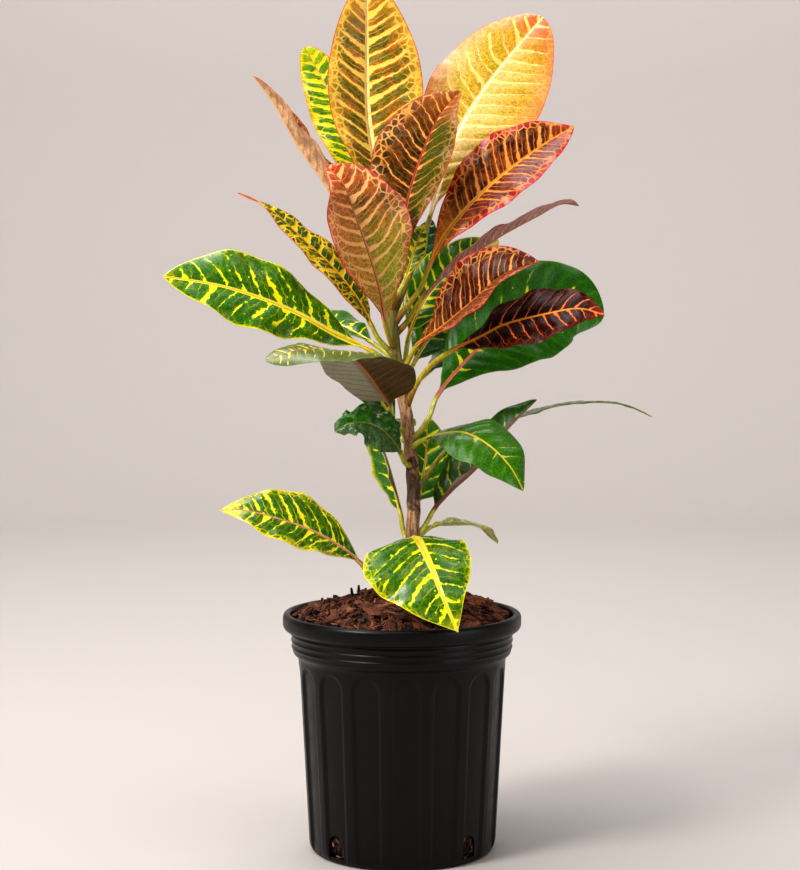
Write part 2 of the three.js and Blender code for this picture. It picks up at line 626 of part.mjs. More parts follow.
// An upright slab with an arched top, whose inner face lies at a radius that may lean with the
// pot's wall. It is made facing the front and turned to its place.
function archedCutter(bottomWidth, topWidth, bottom, top, innerBottomRadius, innerTopRadius, turn) {
  const spring = top - topWidth / 2;
  const shape = new THREE.Shape();
  shape.moveTo(-bottomWidth / 2, bottom);
  shape.lineTo(bottomWidth / 2, bottom);
  shape.lineTo(topWidth / 2, spring);
  for (let k = 1; k <= ARCH_STEPS; k += 1) {
    const angle = (Math.PI * k) / ARCH_STEPS;
    shape.lineTo((topWidth / 2) * Math.cos(angle), spring + (topWidth / 2) * Math.sin(angle));
  }
  const geometry = new THREE.ExtrudeGeometry(shape, { depth: CUTTER_DEPTH, bevelEnabled: false });
  geometry.rotateX(Math.PI / 2);
  const position = geometry.attributes.position;
  for (let k = 0; k < position.count; k += 1) {
    const z = position.getZ(k);
    const lean = lerp(innerBottomRadius, innerTopRadius, (z - bottom) / (top - bottom));
    position.setY(k, position.getY(k) - lean);
  }
  return geometry.rotateZ(radians(turn));
}

function potSolid() {
  let pot = toSolid(lathe(potProfile(), POT_SIDES));
  for (let k = 0; k < FLUTE_COUNT; k += 1) {
    const cutter = archedCutter(
      FLUTE_BOTTOM_WIDTH, FLUTE_TOP_WIDTH, FLUTE_BOTTOM, FLUTE_TOP,
      bodyRadius(FLUTE_BOTTOM) - FLUTE_DEPTH, bodyRadius(FLUTE_TOP) - FLUTE_DEPTH,
      FLUTE_TURN + (k * 360) / FLUTE_COUNT,
    );
    pot = pot.subtract(toSolid(cutter));
  }
  for (const angle of DRAIN_ANGLES) {
    const cutter = archedCutter(
      DRAIN_WIDTH, DRAIN_WIDTH, DRAIN_BOTTOM, DRAIN_TOP, DRAIN_RADIUS, DRAIN_RADIUS, angle,
    );
    pot = pot.subtract(toSolid(cutter));
  }
  return pot;
}

// ---- The bark mix ----

function soilHeight(x, y) {
  const r = Math.min(Math.hypot(x, y) / LIP_INNER_RADIUS, 1);
  const crown = lerp(SOIL_CROWN, SOIL_EDGE, r ** SOIL_DOME);
  const lumps = SOIL_LUMPS[0] * Math.sin(x / 9 + 1) * Math.cos(y / 11)
    + SOIL_LUMPS[1] * Math.sin((x + y) / 6);
  const across = (x - SOIL_MOUND.x) / SOIL_MOUND.halfWidth;
  const back = (y - SOIL_MOUND.y) / SOIL_MOUND.halfDepth;
  const mound = SOIL_MOUND.height * Math.exp(-(across ** 2) - back ** 2);
  return crown + (lumps + mound) * (1 - r ** 6); // level again at the wall
}

// The filling, before its top is shaped: it follows the pot's inner wall.
function soilProfile() {
  return [
    [0, FLOOR + SOIL_GAP],
    [FOOT_RADIUS - 1.5 - SOIL_GAP, FLOOR + SOIL_GAP],
    [innerRadius(FOOT_ROUND) - SOIL_GAP, FOOT_ROUND],
    [innerRadius(BODY_TOP - 2) - SOIL_GAP, BODY_TOP - 2 - SOIL_GAP],
    [COLLAR_RADIUS - WALL - SOIL_GAP, COLLAR_BOTTOM],
    [COLLAR_RADIUS - WALL - SOIL_GAP, POT_HEIGHT - LIP_DROP - 5.5],
    [LIP_INNER_RADIUS - 1.3 - SOIL_GAP, SOIL_EDGE],
    ...SOIL_RING_RADII.map((r) => [r, SOIL_EDGE]),
    [0, SOIL_EDGE],
  ];
}

function soilSolid() {
  const geometry = lathe(soilProfile(), POT_SIDES);
  const position = geometry.attributes.position;
  for (let k = 0; k < position.count; k += 1) {
    const [x, y] = [position.getX(k), position.getY(k)];
    if (position.getZ(k) > SOIL_EDGE - 0.01 && Math.hypot(x, y) < SOIL_RING_RADII[0] + 1) {
      position.setZ(k, soilHeight(x, y));
    }
  }
  const random = seededRandom(CHIP_SEED);
  const between = ([low, high]) => lerp(low, high, random());
  let soil = toSolid(geometry);
  for (let k = 0; k < CHIP_COUNT; k += 1) {
    // Chips lie evenly over the surface, in a sunflower's order, each turned its own way.
    const place = around(SUNFLOWER_TURN * k, CHIP_SPREAD * Math.sqrt((k + 0.5) / CHIP_COUNT), 0);
    const chip = new THREE.BoxGeometry(between(CHIP_LENGTH), between(CHIP_WIDTH), between(CHIP_THICKNESS));
    chip.rotateY(radians(CHIP_TILT[1] * lerp(-1, 1, random())));
    chip.rotateX(radians(CHIP_TILT[0] * lerp(-1, 1, random())));
    chip.rotateZ(random() * Math.PI);
    chip.translate(place.x, place.y, soilHeight(place.x, place.y) + CHIP_LIFT);
    soil = soil.add(toSolid(chip));
  }
  return soil;
}

// ---- Assembly ----

const trunkSolid = toSolid(trunkGeometry());
const trunkRoom = toSolid(trunkGeometry(CLEARANCE + 0.05));

const group = new THREE.Group();
group.name = 'potted_croton';
group.add(piece('pot', toGeometry(potSolid()), 0x15161a, 0.42));

let soil = soilSolid().subtract(trunkRoom);
group.add(piece('trunk', toGeometry(trunkSolid), 0x6a4a33, 0.85));

for (const leaf of LEAVES) {
  const solid = largestBody(toSolid(leafGeometry(leaf)).subtract(trunkRoom));
  group.add(piece(leaf.name, toGeometry(solid), leaf.color, 0.35));
  if (leaf.from < SOIL_CROWN) {
    // A stalk that rises out of the bark stands in a plain hole.
    soil = soil.subtract(toSolid(leafGeometry(leaf, 2 * CLEARANCE)));
  }
}
group.add(piece('bark_mix', toGeometry(largestBody(soil)), 0x6b4030, 0.95));

export default group;
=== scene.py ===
"""The finished look of a potted croton: glossy variegated leaves on a woody trunk, bark mix and a
ribbed black nursery pot. Sizes are in millimetres and meshes are made in metres."""

import math

import bpy
import numpy as np
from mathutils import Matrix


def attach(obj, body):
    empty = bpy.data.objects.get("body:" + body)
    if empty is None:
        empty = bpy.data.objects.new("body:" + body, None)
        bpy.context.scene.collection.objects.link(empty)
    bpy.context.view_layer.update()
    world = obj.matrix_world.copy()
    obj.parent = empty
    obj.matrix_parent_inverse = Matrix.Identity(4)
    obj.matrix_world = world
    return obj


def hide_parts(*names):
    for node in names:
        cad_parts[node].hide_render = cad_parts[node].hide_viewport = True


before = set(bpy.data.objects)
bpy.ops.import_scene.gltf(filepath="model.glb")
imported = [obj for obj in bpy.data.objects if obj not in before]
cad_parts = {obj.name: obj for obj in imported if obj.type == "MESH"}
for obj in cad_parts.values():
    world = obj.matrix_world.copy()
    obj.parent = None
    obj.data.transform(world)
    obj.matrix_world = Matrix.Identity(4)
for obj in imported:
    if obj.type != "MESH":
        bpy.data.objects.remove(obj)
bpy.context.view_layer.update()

MM = 0.001
SHARP_FROM = 62  # degrees: edges sharper than this aren't smoothed
POT_SHARP_FROM = 38

# ---- Sizes of the pot ----

POT_HEIGHT = 165
LIP_RADIUS = 82.5
LIP_INNER_RADIUS = 77
LIP_DROP = 12
LIP_UNDER_ROUND = 5
LIP_TOP_ROUND = (3, 4)  # across and down, at the outside
LIP_INNER_ROUND = (2, 2.5)
COLLAR_RADIUS = 75.6
COLLAR_BOTTOM = 137
COLLAR_TAPER = 1.0  # the collar widens by this much up to the lip
COLLAR_START = (137.5, 139.4)  # the knee and the end of its lower edge
COLLAR_BEADS = [141.8, 146.2, 150.6]  # heights of its soft beads
COLLAR_BEAD = 0.6  # how far a bead stands out
COLLAR_BEAD_HEIGHT = 0.9
BODY_TOP_RADIUS = 71.8
BODY_TOP = 133
SHOULDER_DROP = 2
SHOULDER_KNEE = 134.5
WAIST_HEIGHT = 136
BODY_BOTTOM_RADIUS = 65.4
FOOT_RADIUS = 60.5
FOOT_ROUND = 9
WALL = 3.2
FLOOR = 3
FLOOR_MIDDLE = 8  # radius of the innermost ring of a floor
FINE_FROM = 108  # above this the wall has fine rings, for the arches of the flutes
POT_SIDES = 512

FLUTE_COUNT = 16
FLUTE_TURN = 2.5  # degrees, from the front towards +X
FLUTE_TOP = 131
FLUTE_TOP_WIDTH = 21.5
FLUTE_BOTTOM_WIDTH = 19
FLUTE_DEPTH = 1.7
FLUTE_EDGE = 2.4  # how wide the rounded edge of a flute is

DRAIN_ANGLES = [-136, -44, 44, 136]
DRAIN_WIDTH = 13
DRAIN_BOTTOM = 4.5
DRAIN_TOP = 20
DRAIN_CUT = (-9, 12)  # how far a cutter reaches in and out from the foot's radius
ROOT_BALL_RADIUS = 61.2  # behind the drain holes
DRAIN_FIELD_TURNS = range(-9, 10, 3)  # where chips lie behind a drain hole, in degrees from its middle
DRAIN_FIELD_HEIGHTS = [5, 10, 15, 20]

# ---- Sizes of the bark mix and the trunk ----

SOIL_EDGE = 161
SOIL_CROWN = 172
SOIL_RADIUS = 75
SOIL_SINK = 1.5  # the crumbs under the chips lie this much lower than the solid's top
SOIL_SIDES = 180
SOIL_FLOOR_GAP = 0.8  # between the crumbs and the inside of the pot
SOIL_BODY_GAP = 1.5
SOIL_COLLAR_GAP = 1.2
LUMPS = (1.6, 1.1)  # heights of the broad and the narrow lumps
MOUND_HEIGHT = 4
MOUND_PLACE = (46, 15)
MOUND_SIZE = (18, 22)
CHIP_FIELD = 72.5  # chips are strewn inside this radius

# x, y and height of each splinter near the pot's rear edge
SPLINTERS = [
    (-57, 42, 5), (-52, 45, 4), (-35, 46, 6), (-31, 45, 7), (-27, 46, 5),
    (-3, 46, 6), (1, 45, 5), (60, 32, 5), (64, 28, 4),
]
SPLINTER_ROOT = 3
SPLINTER_RADII = (1.7, 0.8)  # at its foot and its tip
SPLINTER_LEAN = (0.25, 0.15)  # the most it leans, as a share of its height
SPLINTER_FLATNESS = 0.6

TRUNK_POINTS = [
    (6, 0, 128, 5.2), (6, 0, 170, 5.2), (6.5, 0, 205, 4.8), (8, 0, 243, 4.5), (6, 0, 275, 4.3),
    (2, 0, 308, 4.2), (-4, 0, 342, 3.8), (-6, 0, 366, 3.4), (-5, 0, 385, 2),
]  # x, y, z and radius
TRUNK_SIDES = 64
TRUNK_RINGS = 420
LEAF_SCAR = 0.45
LEAF_SCAR_SPACING = 17
SCAR_RIDGE = 0.3
BARK_CRACKS = 0.22
FINE_CRACKS = 0.14
WOODY_END = (330, 380)  # the bark's unevenness fades out between these heights
GREEN_FROM = (318.0, 356.0)  # the bark turns green between these
SHADE_BAND_FROM = (232.0, 242.0)  # a painted band of shade fades in between these heights
SHADE_BAND_TO = (262.0, 270.0)  # and out between these
FOOT_SHADE = (170.0, 200.0)  # painted shade at the trunk's foot fades out between these heights

# ---- Sizes of the leaves ----

BLADE_THICKNESS = 0.6
MIDRIB_DEPTH = 1.2  # the rib under the blade, where it meets the stalk
MIDRIB_HALF_WIDTH = 1.7
MIDRIB_GROOVE = 0.35  # the sunk line over it
GROOVE_HALF_WIDTH = 1.1
STALK_RADIUS = 1.7
STALK_FOOT_RADIUS = 2.4
TIP_HALF_WIDTH = 0.5
BASE_HALF_WIDTH = TIP_HALF_WIDTH * 3.6
BASE_TAPER = 1.05  # the outline's power at the base, where a leaf's own taper is its power at the tip
MARGIN_THINNING = 0.55  # this share of the blade's thickness is gone at its margin
VEIN_LEAN = 0.42  # how far a side vein has run on towards the tip at the margin, in half widths
VEIN_CURVE = 0.22  # and how much farther because it curves
VEIN_WOBBLE = 0.16  # in side veins
FLATTENING = 0.09
MARGIN_LAG = 2.2
QUILTING = 0.6  # how far the blade swells up between two side veins
STALK_ROWS = 16
BLADE_ROWS = 112
HALF_COLUMNS = 14
CURVE_STEPS = 40  # between two points of a centre line

# Each leaf's centre line, faces and outline, as on its solid.
# start: height on the trunk's axis. stalk, midrib: points of one smooth centre line.
# face: which way the upper side looks, at the base and the tip. width, fold: left and right half.
# bend: how far a half turns down. widest, taper, tail: the outline. wave, waves: the margin.
# ragged: depth of the notches in a torn margin. crumple: height of the creases of a crumpled blade.
# What a leaf doesn't say, LEAF_SHAPE says for it.
LEAF_SHAPE = dict(bend=16, widest=0.5, taper=0.66, tail=0, wave=1.4, waves=4, ragged=0, crumple=0)
LEAVES = {
    "top_gold": dict(
        start=376, stalk=[(-8, 6, 402)],
        midrib=[(-12, 15, 436), (-18, 27, 471), (-24, 40, 510), (-25, 50, 556), (-25, 52, 604)],
        face=[(0.1, -1, 0.1), (0, -1, 0.35)], width=(31, 40), fold=(34, 8), bend=14, widest=0.56,
        taper=0.52, wave=1.6,
    ),
    "back_lime": dict(
        start=352, stalk=[(-10, 10, 366), (-12, 28, 400)],
        midrib=[(-19, 45, 434), (-33, 67, 481), (-49, 84, 523), (-61, 92, 547), (-71, 94, 565)],
        face=[(0.2, -1, 0.2), (0.2, -1, 0.3)], width=(21, 22), fold=(12, 12), bend=15, widest=0.6,
        taper=0.55, waves=3,
    ),
    "centre_maroon": dict(
        start=372, stalk=[(-5, -8, 388)],
        midrib=[(-1, -11, 406), (2, -8, 438), (11, 0, 472), (26, 12, 507), (40, 16, 524)],
        face=[(0, -1, 0.1), (-0.1, -1, 0.3)], width=(33, 29), fold=(8, 48), bend=14, widest=0.56,
        taper=0.78, wave=1.2,
    ),
    "right_gold": dict(
        start=370, stalk=[(4, 13, 394)],
        midrib=[(20, 28, 440), (34, 48, 488), (55, 68, 526), (78, 80, 557), (102, 84, 585)],
        face=[(-0.1, -1, 0.2), (-0.1, -1, 0.35)], width=(38, 45), fold=(10, 10), bend=18, widest=0.6,
        taper=0.56, wave=1.8,
    ),
    "right_red": dict(
        start=363, stalk=[(5, -3, 378), (13, 1, 389)],
        midrib=[(18, 2, 402), (29, 0, 423), (43, -1, 441), (67, 0, 464), (98, 4, 487), (118, 10, 499)],
        face=[(-0.1, -1, 0.35), (0, -1, 0.45)], width=(28, 27), fold=(12, 38), widest=0.6, taper=0.8,
        wave=1.8, waves=5,
    ),
    "centre_pink": dict(
        start=346, stalk=[(-9, -8, 355)],
        midrib=[(-12, -13, 366), (-16, -21, 388), (-23, -29, 412), (-32, -35, 437), (-39, -38, 456),
                (-51, -38, 469)],
        face=[(0.1, -1, 0.25), (0.1, -1, 0.3)], width=(33, 36), fold=(50, 6), bend=14, widest=0.57,
        taper=0.88, wave=1.3,
    ),
    "left_rose": dict(
        start=366, stalk=[(-12, 3, 384)],
        midrib=[(-17, 6, 406), (-35, 9, 432), (-56, 13, 464), (-73, 17, 488), (-89, 20, 516),
                (-103, 21, 535)],
        face=[(0.8, 0, 0.6), (0.75, -0.05, 0.65)], width=(24, 24), fold=(38, 38), bend=20, wave=1.2,
    ),
    "left_narrow": dict(
        start=340, stalk=[(-11, -2, 348), (-17, -4, 355)],
        midrib=[(-21, -5, 363), (-30, -7, 380), (-48, -8, 403), (-66, -8, 420), (-82, -7, 435),
                (-96, -6, 446), (-112, -4, 453)],
        face=[(0.5, -0.6, 0.6), (0.5, -0.6, 0.65)], width=(15, 15), fold=(14, 14), bend=14, widest=0.42,
        wave=1.2, tail=0.12,
    ),
    "left_green": dict(
        start=328, stalk=[(-10, -4, 338)],
        midrib=[(-20, -6, 345), (-46, -14, 357), (-69, -24, 370), (-92, -36, 380), (-120, -48, 389),
                (-156, -60, 395)],
        face=[(0.2, -0.8, 0.6), (0, -0.8, 0.6)], width=(27, 33), fold=(10, 14), bend=22, widest=0.6,
        taper=0.84, wave=2.2,
    ),
    "arched_brown": dict(
        start=288, stalk=[(-4, -7, 295), (-7, -10, 302)],
        midrib=[(-8, -13, 309), (-14, -25, 318), (-24, -44, 333), (-34, -64, 343), (-50, -84, 348),
                (-69, -98, 347), (-86, -106, 341)],
        face=[(0.1, 0.66, 0.66), (-0.1, -0.6, 0.8)], width=(36, 26), fold=(4, 4), bend=18, widest=0.38,
        taper=0.6, wave=1.2,
    ),
    "torn_dark": dict(
        start=266, stalk=[(2, -9, 269)],
        midrib=[(-1, -13, 276), (-8, -20, 287), (-16, -26, 294), (-27, -31, 298), (-37, -34, 297),
                (-45, -36, 292)],
        face=[(0, -0.8, 0.6), (-0.2, -0.7, 0.7)], width=(19, 19), fold=(10, 16), bend=30, wave=2.6,
        waves=3, ragged=0.3, crumple=2.0,
    ),
    "under_left": dict(
        start=280, stalk=[(-1, 6, 286)],
        midrib=[(-5, 9, 293), (-14, 12, 309), (-28, 15, 325), (-46, 18, 340)],
        face=[(0.4, -0.8, 0.5), (0.2, -0.8, 0.6)], width=(13, 14), fold=(8, 8), bend=14, wave=1, waves=3,
    ),
    "left_upright": dict(
        start=208, stalk=[(1, 6, 220)],
        midrib=[(-1, 9, 232), (-5, 13, 249), (-11, 17, 270), (-17, 20, 287), (-24, 21, 303)],
        face=[(-0.85, -0.3, 0.3), (-0.85, -0.3, 0.3)], width=(17, 17), fold=(24, 36), bend=12, wave=1,
        waves=3,
    ),
    "maroon_right": dict(
        start=305, stalk=[(9, -8, 321), (17, -11, 333), (27, -14, 342)],
        midrib=[(36, -16, 347), (53, -24, 355), (68, -32, 363), (98, -44, 371), (117, -50, 374),
                (133, -54, 370)],
        face=[(-0.15, -0.7, 0.7), (0, -0.7, 0.7)], width=(25, 25), fold=(10, 10), bend=18, widest=0.55,
        taper=0.8,
    ),
    "right_green": dict(
        start=283, stalk=[(13, -5, 291), (19, -4, 301)],
        midrib=[(24, -1, 314), (40, 6, 334), (59, 14, 352), (89, 26, 371), (119, 36, 377), (143, 42, 369)],
        face=[(-0.2, -0.95, 0.35), (0, -0.95, 0.4)], width=(42, 36), fold=(8, 8), bend=18, widest=0.58,
        taper=0.6, wave=2,
    ),
    "red_brown": dict(
        start=328, stalk=[(4, -9, 338)],
        midrib=[(10, -15, 349), (26, -24, 361), (46, -34, 378), (68, -44, 397), (90, -50, 405)],
        face=[(-0.2, -0.9, 0.45), (0, -0.9, 0.5)], width=(30, 26), fold=(4, 58), bend=14, widest=0.55,
        taper=0.78, wave=1.5,
    ),
    "mid_green": dict(
        start=322, stalk=[(2, 9, 338)],
        midrib=[(5, 13, 356), (13, 17, 375), (26, 24, 393), (44, 34, 409), (68, 44, 423)],
        face=[(-0.1, -0.95, 0.35), (0, -0.9, 0.45)], width=(20, 22), fold=(10, 12), wave=1.5,
    ),
    "right_rose": dict(
        start=355, stalk=[(4, 2, 366)],
        midrib=[(15, 5, 383), (41, 8, 407), (67, 10, 424), (93, 16, 438), (111, 22, 447), (123, 26, 446)],
        face=[(-0.5, 0.1, 0.85), (-0.25, 0, 0.95)], width=(18, 18), fold=(24, 24), bend=14, widest=0.52,
        wave=1.1,
    ),
    "back_teal": dict(
        start=362, stalk=[(-1, 12, 371)],
        midrib=[(1, 35, 389), (8, 44, 404), (15, 51, 421), (21, 55, 438)],
        face=[(0, -1, 0.3), (0, -1, 0.4)], width=(13, 13), fold=(10, 10), bend=12, wave=0.8, waves=3,
    ),
    "young_centre": dict(
        start=380, stalk=[(0, -1, 389)],
        midrib=[(3, 1, 396), (6, 3, 406), (10, 6, 418), (15, 9, 432)],
        face=[(-0.2, -1, 0.2), (-0.2, -1, 0.3)], width=(9, 9), fold=(22, 22), bend=8, wave=0.5, waves=3,
    ),
    "back_green": dict(
        start=318, stalk=[(4, 10, 328)],
        midrib=[(9, 18, 338), (18, 27, 352), (31, 36, 368), (50, 44, 386)],
        face=[(-0.1, -0.95, 0.3), (0, -0.9, 0.4)], width=(17, 17), fold=(10, 10), bend=14, wave=1,
        waves=3,
    ),
    "front_droop": dict(
        start=278, stalk=[(11, -8, 283)],
        midrib=[(17, -14, 286), (28, -25, 290), (42, -37, 291), (58, -47, 283), (71, -53, 270),
                (80, -55, 254)],
        face=[(0, -0.45, 0.9), (0.55, -0.75, 0.4)], width=(27, 25), fold=(6, 6), bend=22, taper=0.85,
        wave=1.6, waves=3,
    ),
    "right_low": dict(
        start=214, stalk=[(13, 0, 221), (18, 4, 228)],
        midrib=[(22, 7, 235), (34, 10, 248), (52, 13, 264), (73, 16, 290), (94, 18, 311)],
        face=[(-0.55, -0.65, 0.5), (-0.5, -0.7, 0.5)], width=(24, 20), fold=(10, 62), bend=12,
        widest=0.42,
    ),
    "edge_line": dict(
        start=246, stalk=[(16, 12, 256), (28, 24, 272)],
        midrib=[(50, 36, 288), (80, 42, 297), (112, 44, 306), (145, 42, 308), (162, 40, 305),
                (177, 38, 298)],
        face=[(-0.1, 0.02, 1), (0.15, 0.02, 1)], width=(17, 17), fold=(5, 5), bend=8, widest=0.42,
        wave=0.8, tail=0.16,
    ),
    "behind_trunk": dict(
        start=226, stalk=[(8, 13, 231)],
        midrib=[(11, 24, 239), (14, 33, 252), (17, 38, 270), (18, 41, 298)],
        face=[(-0.1, -1, 0.2), (-0.1, -0.95, 0.35)], width=(11, 21), fold=(8, 8), bend=12, widest=0.42,
        wave=1.2, waves=3,
    ),
    "front_low": dict(
        start=207, stalk=[(7, -10, 214)],
        midrib=[(8, -22, 219), (11, -40, 219), (15, -57, 213), (21, -72, 201), (27, -83, 186),
                (36, -91, 166)],
        face=[(0, -0.25, 1), (-0.1, -0.95, 0.2)], width=(29, 43), fold=(6, 2), bend=18, widest=0.4,
        taper=1, wave=2,
    ),
    "left_low": dict(
        start=150, stalk=[(-2, -9, 170), (-11, -11, 178), (-21, -12, 190)],
        midrib=[(-28, -13, 200), (-42, -17, 212), (-62, -22, 224), (-86, -27, 233), (-106, -28, 238),
                (-123, -27, 238)],
        face=[(0.3, -0.65, 0.7), (0, -0.65, 0.75)], width=(19, 29), fold=(8, 10), bend=20, widest=0.52,
        taper=1, wave=1.1,
    ),
    "right_small": dict(
        start=204, stalk=[(12, 9, 215)],
        midrib=[(20, 16, 222), (41, 30, 224), (59, 45, 218), (69, 53, 206)],
        face=[(0.1, -0.02, 1), (0.5, 0.2, 0.8)], width=(15, 15), fold=(5, 5), bend=12, taper=0.8,
        wave=0.8, waves=3,
    ),
    "rear_high": dict(
        start=344, stalk=[(-5, 13, 358)],
        midrib=[(-5, 30, 380), (-4, 54, 404), (-2, 80, 424), (2, 104, 434), (4, 124, 434)],
        face=[(0, -0.75, 0.7), (0, -0.1, 1)], width=(25, 25), fold=(12, 12),
    ),
    "rear_left": dict(
        start=336, stalk=[(-9, 10, 342)],
        midrib=[(-20, 24, 350), (-42, 44, 362), (-66, 66, 370), (-88, 85, 372), (-104, 98, 366)],
        face=[(0.25, -0.3, 0.9), (-0.3, 0.1, 1)], width=(26, 26), fold=(12, 12), bend=18, wave=1.6,
    ),
    "rear_right": dict(
        start=312, stalk=[(7, 11, 320)],
        midrib=[(18, 24, 330), (37, 45, 343), (60, 70, 351), (82, 92, 350), (98, 108, 343)],
        face=[(-0.2, -0.25, 0.95), (0.2, 0.2, 1)], width=(27, 27), fold=(10, 10), bend=18, wave=1.6,
    ),
    "rear_middle": dict(
        start=262, stalk=[(2, 12, 270)],
        midrib=[(-3, 26, 279), (-9, 50, 289), (-15, 76, 293), (-20, 100, 289), (-24, 116, 280)],
        face=[(0, -0.3, 1), (0, 0.4, 0.9)], width=(24, 24), fold=(10, 10),
    ),
    "rear_low": dict(
        start=180, stalk=[(3, 10, 184)],
        midrib=[(4, 26, 188), (7, 50, 191), (10, 74, 191), (12, 96, 187), (13, 114, 180)],
        face=[(0, -0.25, 0.95), (0.1, 0.3, 0.9)], width=(22, 22), fold=(10, 10),
    ),
}

# ---- Curves and numbers ----


def smooth_step(value, low, high):
    share = np.clip((value - low) / (high - low), 0, 1)
    return share * share * (3 - 2 * share)


def between(low, high, share):
    return low + (high - low) * share


def lengthwise(vectors):
    """The vectors of the last axis at length 1."""
    return vectors / np.linalg.norm(vectors, axis=-1, keepdims=True)


def ripples(x, y, seed):
    """Soft unevenness from -1 to 1, from a few crossed waves. x and y are in wavelengths."""
    rng = np.random.default_rng(seed)
    total = 0
    for turn, lag, pace in rng.uniform((0, 0, 0.6), (6.28, 6.28, 1.5), (5, 3)):
        total = total + np.sin(6.28 * pace * (x * math.cos(turn) + y * math.sin(turn)) + lag)
    return total / 3.2


def centre_line(points):
    """A smooth centripetal curve through the points, as close points on it."""
    knots = np.array(points, float)
    knots = np.vstack([2 * knots[0] - knots[1], knots, 2 * knots[-1] - knots[-2]])
    share = np.linspace(0, 1, CURVE_STEPS, endpoint=False)[:, None]
    pieces = []
    for before, start, end, after in zip(knots, knots[1:], knots[2:], knots[3:]):
        pairs = ((before, start), (start, end), (end, after))
        gaps = [math.sqrt(np.linalg.norm(b - a)) for a, b in pairs]
        slope = (end - start) / gaps[1]
        out = (start - before) / gaps[0] - (end - before) / (gaps[0] + gaps[1]) + slope
        into = slope - (after - start) / (gaps[1] + gaps[2]) + (after - end) / gaps[2]
        out, into = out * gaps[1], into * gaps[1]
        square = 3 * (end - start) - 2 * out - into
        cube = 2 * (start - end) + out + into
        pieces.append(start + out * share + square * share**2 + cube * share**3)
    return np.vstack([*pieces, knots[-2]])


def walk(line, distances):
    """Points on a line at distances from its start, and its direction there."""
    steps = np.linalg.norm(np.diff(line, axis=0), axis=1)
    reached = np.concatenate([[0], np.cumsum(steps)])
    slope = lengthwise(np.gradient(line, reached, axis=0))
    places, slopes = (
        np.stack([np.interp(distances, reached, rows[:, k]) for k in range(3)], axis=1)
        for rows in (line, slope)
    )
    return places, lengthwise(slopes)


TRUNK_LINE = centre_line([point[:3] for point in TRUNK_POINTS])


def trunk_at(height):
    """The trunk's axis and radius at a height."""
    heights = [point[2] for point in TRUNK_POINTS]
    knot = np.interp(height, heights, range(len(heights)))
    steps = range(len(TRUNK_LINE))
    place = [np.interp(knot * CURVE_STEPS, steps, TRUNK_LINE[:, k]) for k in range(3)]
    return np.array(place), np.interp(height, heights, [point[3] for point in TRUNK_POINTS])


# ---- Meshes ----


def linked(thing):
    """Puts a new object into the scene."""
    bpy.context.scene.collection.objects.link(thing)
    return thing


def new_piece(name, points, faces):
    """A mesh object from points in millimetres."""
    mesh = bpy.data.meshes.new(name)
    mesh.from_pydata((np.array(points) * MM).tolist(), [], [[int(k) for k in face] for face in faces])
    return linked(bpy.data.objects.new(name, mesh))


def revolve(outline, sides):
    """Rings of points round the upright axis, one for each point (radius, height) of the outline."""
    turn = np.linspace(0, 2 * math.pi, sides, endpoint=False)
    circle = np.stack([np.cos(turn), np.sin(turn), 0 * turn], axis=1)
    return outline[:, None, :1] * circle[None] + outline[:, None, 1:] * np.array([0, 0, 1.0])


def ring_quads(rows, columns):
    """The numbers of the points of closed rings, and the quads between each ring and the next."""
    index = np.arange(rows * columns).reshape(rows, columns)
    near, far = index[:-1], index[1:]
    quads = np.stack([near, np.roll(near, -1, 1), np.roll(far, -1, 1), far], axis=-1)
    return index, quads.reshape(-1, 4)


def skin(name, rings, ends, values=None):
    """A closed mesh from rings of points. Its ends are "strips" across a flat ring or "fans" to a
    middle point. values are named vectors for each point, for the material to read."""
    rows, columns = rings.shape[:2]
    points = rings.reshape(-1, 3)
    index, quads = ring_quads(rows, columns)
    faces = quads.tolist()
    if ends == "strips":
        for k in range(columns // 2 - 1):
            mirror = columns - 1 - k
            faces.append([index[0, k], index[0, mirror], index[0, mirror - 1], index[0, k + 1]])
            faces.append([index[-1, k], index[-1, k + 1], index[-1, mirror - 1], index[-1, mirror]])
    else:
        points = np.vstack([points, rings[0].mean(0), rings[-1].mean(0)])
        for k in range(columns):
            after = (k + 1) % columns
            faces.append([rows * columns, index[0, after], index[0, k]])
            faces.append([rows * columns + 1, index[-1, k], index[-1, after]])
    piece = new_piece(name, points, faces)
    for key, vectors in (values or {}).items():
        mark = piece.data.attributes.new(key, "FLOAT_VECTOR", "POINT")
        mark.data.foreach_set("vector", vectors.reshape(-1).astype(np.float32))
    face_outwards(piece.data)
    smoothed(piece, SHARP_FROM)
    return piece


def face_outwards(mesh):
    """Turns a closed mesh the right way out, by the sign of its volume."""
    mesh.calc_loop_triangles()
    corners = np.array([[mesh.vertices[k].co for k in face.vertices] for face in mesh.loop_triangles])
    volume = np.einsum("ij,ij->i", corners[:, 0], np.cross(corners[:, 1], corners[:, 2])).sum()
    if volume < 0:
        mesh.flip_normals()


def smoothed(piece, degrees):
    """Smooth shading, except at edges sharper than an angle."""
    piece.data.shade_smooth()
    piece.data.set_sharp_from_angle(angle=math.radians(degrees))


def shown(piece, node, stands_in=True):
    """Seats a finished piece on the part's root body. If stands_in, the piece stands in for its solid,
    which is hidden.
    """
    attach(piece, "root")
    if stands_in:
        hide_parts(node)


def plain_mesh(source, name):
    """What a piece's modifiers make of it, as a mesh piece of its own. The source is removed."""
    finished = source.evaluated_get(bpy.context.evaluated_depsgraph_get())
    piece = linked(bpy.data.objects.new(name, bpy.data.meshes.new_from_object(finished)))
    bpy.data.objects.remove(source)
    return piece


# ---- Fields: sums in a node tree ----


